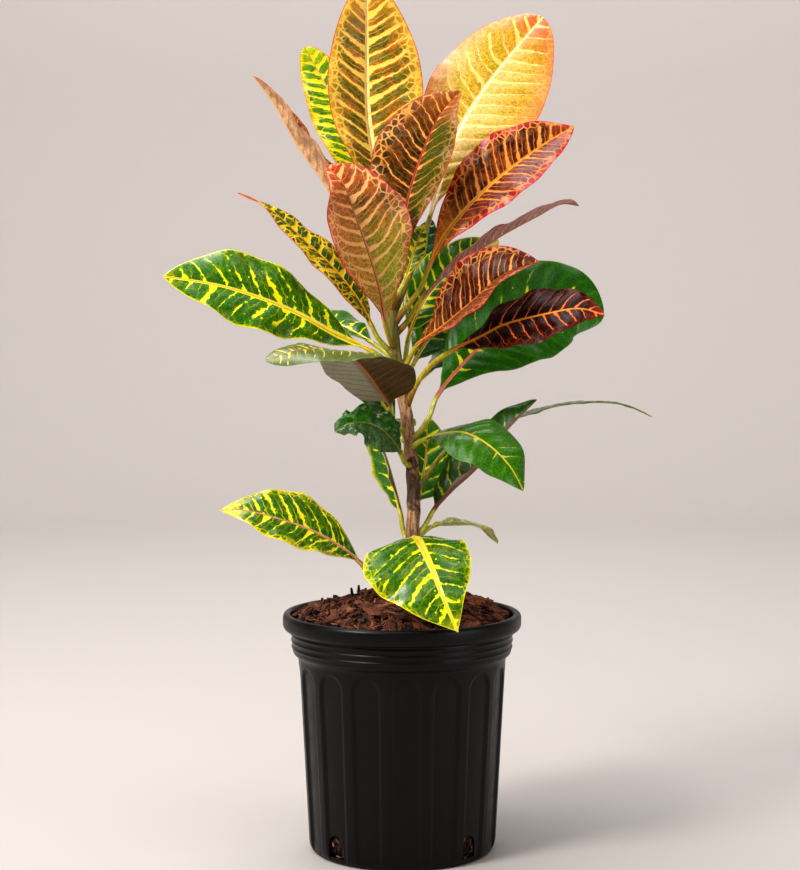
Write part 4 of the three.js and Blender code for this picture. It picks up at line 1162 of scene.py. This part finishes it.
def strew_tree():
    """Strews chips over a surface. Each is a bar that is narrowed at its ends, laid at random and
    roughened, with a number of its own for its colour."""
    tree = bpy.data.node_groups.new("strew_chips", "GeometryNodeTree")
    sizes = ["Density", "Length", "Width", "Thickness", "Tilt", "Lift", "Roughness"]
    add_sockets(tree, "INPUT", "Geometry", ["Geometry"])
    add_sockets(tree, "INPUT", "Float", sizes)
    add_sockets(tree, "INPUT", "Int", ["Seed"])
    add_sockets(tree, "INPUT", "Material", ["Material"])
    add_sockets(tree, "OUTPUT", "Geometry", ["Geometry"])
    given = fields_given(tree)
    seed = given["Seed"]
    tilt = given["Tilt"]

    spread = {"Mesh": given["Geometry"], "Density": given["Density"], "Seed": seed}
    strewn = add_node(tree, "GeometryNodeDistributePointsOnFaces", spread)
    cube = {"Size": (1, 1, 1), "Vertices X": 6, "Vertices Y": 3, "Vertices Z": 2}
    x, y, z = parts_of(made(tree, "GeometryNodeInputPosition"))
    narrow = 1.0 - x * x * 2.4
    bar = {
        "Geometry": made(tree, "GeometryNodeMeshCube", cube),
        "Position": point_of(x, y * narrow, z * narrow),
    }
    upright = {"Vector": Field(strewn.outputs[1])}
    leans = point_of(
        random_value(tree, tilt * -1, tilt, seed + 1),
        random_value(tree, tilt * -1, tilt, seed + 2),
        random_value(tree, 0.0, 6.283, seed + 3),
    )
    turns = {
        0: made(tree, "FunctionNodeAlignRotationToVector", upright, axis="Z"),
        1: made(tree, "FunctionNodeEulerToRotation", {0: leans}),
    }
    size = random_value(tree, 0.55, 1.25, seed + 4)
    stretch = random_value(tree, 0.6, 1.3, seed + 5)
    length, width, thickness = (given[key] * size for key in ("Length", "Width", "Thickness"))
    laid = made(tree, "GeometryNodeInstanceOnPoints", {
        "Points": Field(strewn.outputs[0]),
        "Instance": made(tree, "GeometryNodeSetPosition", bar),
        "Rotation": made(tree, "FunctionNodeRotateRotation", turns, rotation_space="LOCAL"),
        "Scale": point_of(length * MM, width * stretch * MM, thickness * MM),
    })
    tint = {"Geometry": laid, "Name": "tint", "Value": random_value(tree, 0.0, 1.0, seed + 6)}
    marked = made(tree, "GeometryNodeStoreNamedAttribute", tint, data_type="FLOAT", domain="INSTANCE")
    rough = made(tree, "ShaderNodeTexNoise", {"Scale": 220.0, "Detail": 2.0}, output="Color")
    push = made(tree, "ShaderNodeVectorMath", {0: rough, 1: (0.5, 0.5, 0.5)}, operation="SUBTRACT")
    pushed = {0: push, "Scale": given["Roughness"] * MM}
    moves = {
        0: made(tree, "ShaderNodeVectorMath", pushed, operation="SCALE"),
        1: point_of(0.0, 0.0, given["Lift"] * MM),
    }
    crooked = {
        "Geometry": made(tree, "GeometryNodeRealizeInstances", {"Geometry": marked}),
        "Offset": made(tree, "ShaderNodeVectorMath", moves, operation="ADD"),
    }
    finish_tree(made(tree, "GeometryNodeSetPosition", crooked), given["Material"])
    return tree


def bark_material(name, dark, light):
    """Shredded bark: fibres along it, dark patches, and each chip's own tone."""
    material, tree, shader = new_material(name)
    place = object_place(tree)
    tint = attribute(tree, "tint", "Fac")
    fibres = grain(place, 0.9, 6.0, (1, 0.45, 0.45)).ramp(0.3, 0.7)
    patches = grain(place, 0.16, 4.0).ramp(0.35, 0.65)
    share = (fibres * 0.5 + patches * 0.25 + tint * 0.7 - 0.2).most(0.0).least(1.0)
    colour = tinted(share, paint(dark), paint(light))
    colour = tinted(tint.ramp(0.72, 0.98) * (0.4 + fibres * 0.5), colour, paint("B26E46"))
    colour = shaded(colour, tint.ramp(0.0, 0.3, 0.45, 1.0))
    feed(shader, {"Base Color": colour, "Roughness": fibres.ramp(0.0, 1.0, 0.75, 0.95)})
    relief(shader, fibres + grain(place, 3.0, 3.0) * 0.4, 0.5)
    return material


def splinter_piece():
    """Slivers of bark that stand up near the pot's rear edge."""
    material = bark_material("bark_splinters", "20140C", "4E3020")
    slivers = []
    for k, (x, y, tall) in enumerate(SPLINTERS):
        foot = soil_height(x, y) - SPLINTER_ROOT
        lean_x, lean_y = math.sin(k * 2.1) * SPLINTER_LEAN[0], math.cos(k * 1.7) * SPLINTER_LEAN[1]
        turn = np.radians(np.arange(0, 360, 60)) + k
        rings = []
        for share in (0.0, 0.35, 0.7, 1.0):
            radius = between(*SPLINTER_RADII, share)
            middle_x, middle_y = x + lean_x * tall * share, y + lean_y * tall * share
            z = foot + (tall + SPLINTER_ROOT) * share
            flat = SPLINTER_FLATNESS * radius
            rings.append([
                (middle_x + radius * math.cos(t), middle_y + flat * math.sin(t), z) for t in turn
            ])
        slivers.append(skin(f"splinter_{k}", np.array(rings), "fans"))
        slivers[-1].data.materials.append(material)
    with bpy.context.temp_override(active_object=slivers[0], selected_editable_objects=slivers):
        bpy.ops.object.join()
    slivers[0].name = "bark_splinters"
    shown(slivers[0], "bark_mix", False)


# ---- The trunk ----


def trunk_piece():
    """The woody stem, with old leaf scars, cracks in the bark and a ring under each scar."""
    heights = np.linspace(TRUNK_POINTS[0][2], TRUNK_POINTS[-1][2], TRUNK_RINGS + 1)
    turn = np.linspace(0, 2 * math.pi, TRUNK_SIDES, endpoint=False)[None, :]
    z = heights[:, None]
    found = [trunk_at(height) for height in heights]
    centre = np.array([place for place, _ in found])
    radius = np.array([[size] for _, size in found])
    scar_turn = z / LEAF_SCAR_SPACING * 2 * math.pi + math.pi - turn
    scar = np.maximum(np.sin(scar_turn), 0) * LEAF_SCAR
    ridge = SCAR_RIDGE * np.exp(-((np.sin(scar_turn / 2) / 0.14) ** 2))
    cracks = BARK_CRACKS * ripples(turn * 2.2 / 6.28 * 2, z / 26, 7)
    cracks = cracks + FINE_CRACKS * ripples(turn * 5 / 6.28 * 2, z / 9, 8)
    wavy = np.cos(turn * 5 + z / 21) * 0.12 + np.cos(turn * 9 - z / 13) * 0.08
    woody = 1 - smooth_step(z, *WOODY_END)
    reach = radius + (scar + ridge * woody) * radius / TRUNK_POINTS[0][3]
    reach = reach + (cracks * 0.4 + wavy) * woody
    x = centre[:, :1] + reach * np.cos(turn)
    y = centre[:, 1:2] - reach * np.sin(turn)
    trunk = skin("woody_stem", np.stack([x, y, z + 0 * turn], axis=-1), "fans")
    trunk.data.materials.append(trunk_material())
    shown(trunk, "trunk")


def trunk_material():
    material, tree, shader = new_material("stem_bark")
    place = object_place(tree)
    _, _, z = parts_of(place)
    streaks = grain(place, 0.5, 5.0, (1, 1, 0.16)).ramp(0.3, 0.72)
    blots = grain(place, 0.13, 4.0).ramp(0.35, 0.65)
    bark = tinted(streaks, paint("7C5438"), paint("D2A67A"))
    bark = tinted(blots * 0.35, bark, paint("A07A58"))
    specks = grain(place, 1.1, 2.0, (1, 1, 0.4)).ramp(0.56, 0.66)
    bark = tinted(specks * 0.75, bark, paint("3A2418"))
    stretched = made(tree, "ShaderNodeMapping", {"Vector": place, "Scale": (1, 1, 0.5)})
    pores = Field(cells(stretched, 0.5, "F1").outputs["Distance"]).fades(0.14, 0.26)
    bark = tinted(pores * 0.5, bark, paint("C8A682"))
    wandering = z + (blots - 0.5) * 18
    # a painted band of shade darkens the bark between these heights
    shade_band = wandering.ramp(*SHADE_BAND_FROM) * wandering.fades(*SHADE_BAND_TO)
    bark = shaded(bark, 1.0 - shade_band * 0.75)
    green = tinted(streaks, paint("4C4F1C"), paint("7C7A2E"))
    height = z + (blots - 0.5) * 26
    colour = tinted(height.ramp(*GREEN_FROM), bark, green)
    # painted shade, darkest at the trunk's foot
    colour = shaded(colour, z.ramp(*FOOT_SHADE, 0.72, 1.0))
    feed(shader, {"Base Color": colour, "Roughness": streaks.ramp(0.0, 1.0, 0.85, 0.68)})
    relief(shader, streaks + pores * 0.5 + grain(place, 2.0, 3.0) * 0.5, 0.45)
    return material


# ---- The looks of the leaves ----

LOOKS = {
    "gold": dict(
        vein="F4C850", cell="5E4A08", mottle="B8601A", margin="DC9430", edge="C8503A", rib="F6D070",
        rib_line="DC8458", base="4A3A08", tip="C8801E", under="CFA070", under_blotch="8A5A2A", net=0.9,
        vein_width=2.6, vein_reach=0.88, shine=0.3,
    ),
    "red": dict(
        vein="E8924A", cell="3A1206", mottle="8A3A14", margin="B4202E", edge="B4202E", rib="EEA63C",
        rib_line="B8502C", base="6A3A10", tip="B8342A", under="7A4A40", under_vein="B8786A",
        under_blotch="4A1E14", net=0.95, band=0.26, vein_width=1.9, vein_reach=0.85, stalk="BCA434",
        foot="7A4A26", shine=0.2,
    ),
    "green": dict(
        vein="F0E60C", cell="2C6604", mottle="3E7C06", margin="9AA818", edge="C8C020", rib="F0DC34",
        rib_line="D87A50", base="1F5204", tip="D8C818", under="6E7A58", under_vein="98A078",
        under_blotch="3A5A28", net=0.0, band=0.1, vein_width=2.4, vein_reach=0.6, patchy=0.8, spots=0.35,
        base_share=0.0, tip_share=0.12, stalk="BAB63C", foot="8A7E34", shine=0.4,
    ),
    "plain": dict(
        vein="C8C828", cell="2A5E06", mottle="3A740A", margin="2C6214", edge="5A7A20", rib="CDB43A",
        rib_line="C08A40", base="1A4806", tip="285C08", under="5E6A4C", under_vein="7E8862",
        under_blotch="34502A", net=0.0, band=0.05, vein_width=1.1, vein_reach=0.3, patchy=1.0, spots=0.14,
        base_share=0.0, tip_share=0.0, stalk="BAB63C", foot="8A7E34", shine=0.42,
    ),
}

# Which look each leaf has, the distance between its side veins, and its own colours.
DRESS = {
    "top_gold": ("gold", 10.5, dict(
        rib_width=6.4, base_share=0.3, vein_width=3.3, mottle="C46A1E", vein="FAD058", rib="F4D078",
        rib_line="E49060", band=0.34, cell="5C5A10", base="5A4A08", margin="ECA838", net_width=0.15,
    )),
    "back_lime": ("green", 8.0, dict(
        vein_width=4.2, vein_reach=0.98, cell="2A6A08", mottle="4E8E0C", margin="D8982A", tip_share=0.1,
        tip="C8D81C", spots=0.5, net=0.8, band=0.16, patchy=0.4, edge="D8882A", vein="E4D414",
    )),
    "centre_maroon": ("red", 10.0, dict(
        cell="362608", mottle="743C10", margin="8A4420", rib="CC6A4C", rib_line="9E2E2C", vein="EAA450",
        half_tint_and_sheen="3E4A0A", half_tint_and_sheen_side=0.9, tip="8A4A1E", tip_share=0.2, band=0.14, base_share=0.0,
        rib_width=3.0, vein_width=1.4, half_tint_and_sheen_veins=0.35, shine=0.12, edge="A8382A", net=0.8,
    )),
    "right_gold": ("gold", 11.0, dict(
        cell="C4A018", mottle="E89C38", vein="EECF62", margin="EE8C50", band=0.42, rib="F6E4A8",
        rib_line="F8E088", tip="D2502E", tip_share=0.13, base="A88A10", base_share=0.3, vein_width=2.3,
        rib_width=4.4, net=0.5, shine=0.6, edge="D8603A",
    )),
    "right_red": ("red", 8.8, dict(
        margin="BC1A34", base="D8861E", base_share=0.24, rib="F2B248", rib_line="F0A03C", half_tint_and_sheen="682422",
        half_tint_and_sheen_side=0.85, half_tint_and_sheen_veins=0.6, band=0.28, vein="EE9A48", rib_width=4.0, tip="B83A2E",
        tip_share=0.1, vein_width=1.7,
    )),
    "centre_pink": ("red", 9.0, dict(
        cell="6C400E", mottle="C8642E", vein="F6C078", margin="CC5850", rib="E09A6A", rib_line="9E2422",
        base="9CA41E", base_share=0.5, tip="CC4020", half_tint_and_sheen="C06E3E", half_tint_and_sheen_side=-0.7, half_tint_and_sheen_veins=0.7,
        vein_width=2.8, rib_width=3.4, band=0.22, edge="B83A44", shine=0.26,
    )),
    "left_rose": ("red", 7.5, dict(
        under="E2B080", under_vein="96664A", margin="C4523A", rib="E8B07A", cell="6A4A2C",
        under_blotch="7A5632",
    )),
    "left_narrow": ("green", 11.0, dict(
        vein="ECC81C", cell="1E4A0A", mottle="2A5C0C", margin="DCA030", net=0.9, vein_reach=0.98,
        vein_width=3.2, rib="ECC438", rib_line="C8603A", tip="C8A82A", spots=0.3, patchy=0.3,
        net_start=0.3, net_width=0.15, edge="C8603A",
    )),
    "left_green": ("green", 13.5, dict(
        vein="F2EC04", rib="F8E830", rib_line="EC8A50", rib_width=5.0, tip_share=0.05, tip="F4E808",
        vein_reach=0.8, margin="D8D814", vein_width=2.3, spots=0.55, band=0.06, edge="E8E010", net=0.55,
        net_start=0.78, net_width=0.12, patchy=1.0,
    )),
    # its half tint is a painted grey sheen, a painted reflection on one half
    "arched_brown": ("plain", 6.0, dict(
        under="54381C", under_vein="7A5830", rib="B4622A", half_tint_and_sheen="A09E8A", half_tint_and_sheen_side=1.0, tip="56662E",
        tip_share=0.42, vein="D8C030", vein_reach=0.8, vein_width=1.2, rib_width=1.5, cell="3E5A34",
        mottle="566C40", margin="6E7C4A", under_blotch="2C2610",
    )),
    # its half tint is a painted grey-green sheen, a painted reflection on one half
    "torn_dark": ("plain", 8.0, dict(
        rib="8E8A34", rib_line="9A8A3A", rib_width=1.2, spots=0.0, vein="3C6A1E", half_tint_and_sheen="4C683E",
        half_tint_and_sheen_side=-0.9, shine=0.34, cell="22540A", mottle="306A10",
    )),
    "under_left": ("plain", 8.0, dict(cell="20481A", mottle="2C5A20", spots=0.1)),
    "left_upright": ("green", 9.0, dict(
        under="8A6A66", under_vein="A88680", margin="E0D820", band=0.32, half_tint_and_sheen="8A6A66", half_tint_and_sheen_side=1.0,
        half_tint_and_sheen_veins=0.1, vein_width=1.3, vein_reach=0.7, patchy=1.0,
    )),
    "maroon_right": ("red", 9.0, dict(
        cell="180404", mottle="3A0C0A", vein="E07034", rib="F0A034", rib_line="E8862E", margin="4E0C10",
        base="200806", tip="A03018", tip_share=0.1, net=0.12, band=0.14, vein_width=1.1, rib_width=2.8,
        under="4A2424", shine=0.1, edge="5A1014",
    )),
    "right_green": ("plain", 10.0, dict(
        rib="E08468", rib_line="E07060", spots=0.32, vein="E8E020", vein_reach=0.1, cell="28640A",
        mottle="387C10", margin="5A9020", vein_width=0.9, shine=0.3,
    )),
    "red_brown": ("red", 8.5, dict(
        cell="3A0C06", mottle="5A1C0E", vein="D89450", margin="9C1C28", rib="E09C34", rib_line="8A4020",
        half_tint_and_sheen="7A3A2E", half_tint_and_sheen_side=0.8, half_tint_and_sheen_veins=0.6, band=0.14, shine=0.06, vein_width=1.1, tip="8E2420",
        tip_share=0.05, edge="A01C28", net=0.7,
    )),
    "mid_green": ("green", 8.5, dict(vein="DCD81E", vein_reach=0.95, vein_width=2.0, patchy=0.4)),
    "right_rose": ("red", 6.5, dict(
        under="B87670", under_vein="ECC4B4", margin="94343A", rib="B87868", cell="6A3A36",
        under_blotch="7A443E",
    )),
    "back_teal": ("plain", 8.0, dict(cell="1E5A3C", mottle="2C6E4C")),
    "young_centre": ("green", 6.0, dict(vein_reach=0.95, net=0.8, margin="C88A2A")),
    "back_green": ("plain", 8.5, dict()),
    "front_droop": ("plain", 9.5, dict(
        cell="387004", mottle="428004", rib="E0CC38", rib_line="D8C030", rib_width=2.8, spots=0.28,
        vein_reach=0.1, margin="3C7A10", vein_width=0.8, shine=0.28,
    )),
    "right_low": ("plain", 9.5, dict(
        rib="96402C", rib_line="96402C", rib_width=3.0, tip="D0C820", half_tint_and_sheen="4A3018", half_tint_and_sheen_side=0.9,
        half_tint_and_sheen_veins=0.2, vein="D0CC22", under="703A2C", under_vein="96503A", vein_width=1.6, cell="2E5A10",
    )),
    "edge_line": ("plain", 9.0, dict(under="6E7A5E")),
    "behind_trunk": ("green", 11.0, dict(
        cell="2E7008", mottle="428A10", vein_reach=0.9, vein_width=1.7, tip="6A9040",
    )),
    "front_low": ("green", 13.0, dict(
        cell="2E6404", mottle="3C7A04", rib="F4DC40", rib_line="EED038", rib_width=6.0, vein="F4EC04",
        vein_reach=0.85, tip_share=0.09, tip="F8EC10", vein_width=2.3, margin="D8D010", spots=0.55,
        edge="E8E018", net=0.7, net_start=0.72, net_width=0.12, patchy=1.0, shine=0.3,
    )),
    "left_low": ("green", 10.5, dict(
        cell="2A6004", mottle="3C7808", rib="E0A878", rib_line="C86A58", margin="E4D01C", vein_width=1.9,
        vein_reach=0.92, band=0.14, tip_share=0.13, spots=0.6, vein="F0DC20", tip="F8EC10", edge="E8D828",
        net=0.85, net_start=0.66,
    )),
    "right_small": ("green", 9.0, dict(
        cell="5E8A14", mottle="7E9E20", under="B8B44A", under_vein="DCD468", tip_share=0.4, tip="D8D028",
        margin="C8C83C", net=0.3, under_blotch="84923A",
    )),
    "rear_high": ("red", 9.0, dict()),
    "rear_left": ("green", 10.0, dict()),
    "rear_right": ("plain", 10.0, dict()),
    "rear_middle": ("green", 10.0, dict(vein_width=1.8)),
    "rear_low": ("green", 10.0, dict()),
}

# ---- Assembly ----

PATTERN = leaf_pattern()
for seed, (name, form) in enumerate(LEAVES.items(), 1):
    look, vein_gap, own_look = DRESS[name]
    leaf = {**LEAF_SHAPE, **form, "name": name, "vein_gap": vein_gap, "look": {**LOOKS[look], **own_look}}
    shown(leaf_piece(leaf, seed), "leaf_" + name)
pot_piece()
trunk_piece()
soil_piece()
splinter_piece()

# Layers of chips: density, length, width, thickness, tilt, lift, roughness, seed and two colours.
CHIP_LAYERS = {
    "bark_shreds": (62000, 8, 2.0, 1.2, 0.5, 0.9, 2.0, 21, "30180F", "84482E"),
    "bark_chips": (13000, 13, 4.6, 2.6, 0.42, 1.8, 3.2, 42, "34190F", "8E5038"),
    "bark_fibres": (36000, 11, 0.8, 0.6, 0.5, 2.2, 1.6, 63, "4A2A18", "A06A44"),
    "bark_flakes": (3200, 17, 7.0, 3.0, 0.3, 2.0, 3.6, 105, "4A2416", "9A5C42"),
    # near black: painted shade on the chips seen through the drain holes, inside the pot
    "drain_bark_painted_shade": (110000, 7, 1.8, 1.2, 0.5, 0.0, 1.6, 84, "0E0705", "361E15"),
}
STREW = strew_tree()
for name, (density, length, width, thickness, tilt, lift, rough, seed, dark, light) in CHIP_LAYERS.items():
    field = drain_field() if name == "drain_bark_painted_shade" else chip_field()
    chips = run_tree(
        field, STREW, name, Density=density, Length=length, Width=width, Thickness=thickness,
        Tilt=tilt, Lift=lift, Roughness=rough, Seed=seed, Material=bark_material(name, dark, light),
    )
    shown(chips, "bark_mix", False)

# ---- The studio ----

CAMERA_PLACE = (-1.4, -1300, 370)
CAMERA_PITCH = 3.63  # degrees below level
CAMERA_LENS = 78.25
SENSOR_WIDTH = 36
FLOOR_RADIUS = 2100  # where the floor starts to curve up into the wall
CURVE_RADIUS = 900
WALL_TOP = 1900
BOWL_SIDES = 128
# Place, target, diameter in metres, power and colour of each light on the plant and behind it.
LIGHTS = {
    "key": ((-1150, -950, 1350), (0, 0, 320), 0.6, 27, (1.0, 0.985, 0.965)),
    "fill": ((1500, -900, 480), (0, 0, 240), 1.0, 6, (0.98, 0.985, 1.0)),
    "side": ((-1500, -450, 560), (0, 0, 120), 0.9, 1.3, (1, 1, 1)),
    "top": ((-250, 250, 1800), (0, 0, 350), 0.8, 6, (1, 1, 1)),
    "backdrop": ((-300, 0, 1600), (200, 900, 500), 1.2, 10, (1, 1, 1)),
}
# Which way each light of the wall looks, and its power.
WALL_LIGHTS = {"back": (0, 1, 37), "front": (0, -1, 13), "left": (-1, 0, 13), "right": (1, 0, 13)}
WALL_LIGHT_PLACE = (1300, 2300)  # how far out and how high
WALL_LIGHT_TARGET = (2900, 600)
WALL_LIGHT_SIZE = 1.6
WORLD_LIGHT = 0.16


def studio_bowl():
    """A pale round floor that curves up into a wall all round, beyond every camera."""
    profile = [(radius, 0) for radius in (600, 1200, 1800, FLOOR_RADIUS)]
    for angle in np.radians(np.arange(6, 91, 6)):
        out, up = CURVE_RADIUS * math.sin(angle), CURVE_RADIUS * (1 - math.cos(angle))
        profile.append((FLOOR_RADIUS + out, up))
    profile.append((FLOOR_RADIUS + CURVE_RADIUS, WALL_TOP))
    rings = revolve(np.array(profile), BOWL_SIDES)
    _, quads = ring_quads(*rings.shape[:2])
    facing_in = quads[:, [0, 3, 2, 1]]
    bowl = new_piece("studio_bowl", rings.reshape(-1, 3), [range(BOWL_SIDES), *facing_in])
    bowl.data.shade_smooth()
    material, _, shader = new_material("studio_paper")
    feed(shader, {"Base Color": paint("BEB7B3"), "Roughness": 0.85})
    bowl.data.materials.append(material)


def soft_light(name, place, target, size, power, colour=(1, 1, 1)):
    light = bpy.data.lights.new(name, "AREA")
    light.shape = "DISK"
    light.size = size
    light.energy = power
    light.color = colour
    lamp = linked(bpy.data.objects.new(name, light))
    lamp.location = [MM * k for k in place]
    x, y, z = np.array(target, float) - np.array(place, float)
    lamp.rotation_euler = (math.atan2(math.hypot(x, y), -z), 0, math.atan2(-x, y))


studio_bowl()
for name, settings in LIGHTS.items():
    soft_light(name, *settings)
for name, (x, y, power) in WALL_LIGHTS.items():
    place, target = ((out * x, out * y, z) for out, z in (WALL_LIGHT_PLACE, WALL_LIGHT_TARGET))
    soft_light("wall_" + name, place, target, WALL_LIGHT_SIZE, power)
world = bpy.data.worlds.new("studio")
world.use_nodes = True
feed(world.node_tree.nodes["Background"], {"Color": paint("E8E6E4"), "Strength": WORLD_LIGHT})
bpy.context.scene.world = world
bpy.context.scene.view_settings.view_transform = "Standard"
bpy.context.scene.view_settings.look = "Medium High Contrast"

camera_data = bpy.data.cameras.new("camera")
camera_data.lens = CAMERA_LENS
camera_data.sensor_width = SENSOR_WIDTH
camera = linked(bpy.data.objects.new("camera", camera_data))
camera.location = [MM * k for k in CAMERA_PLACE]
camera.rotation_euler = (math.radians(90 - CAMERA_PITCH), 0, 0)
bpy.context.scene.camera = camera
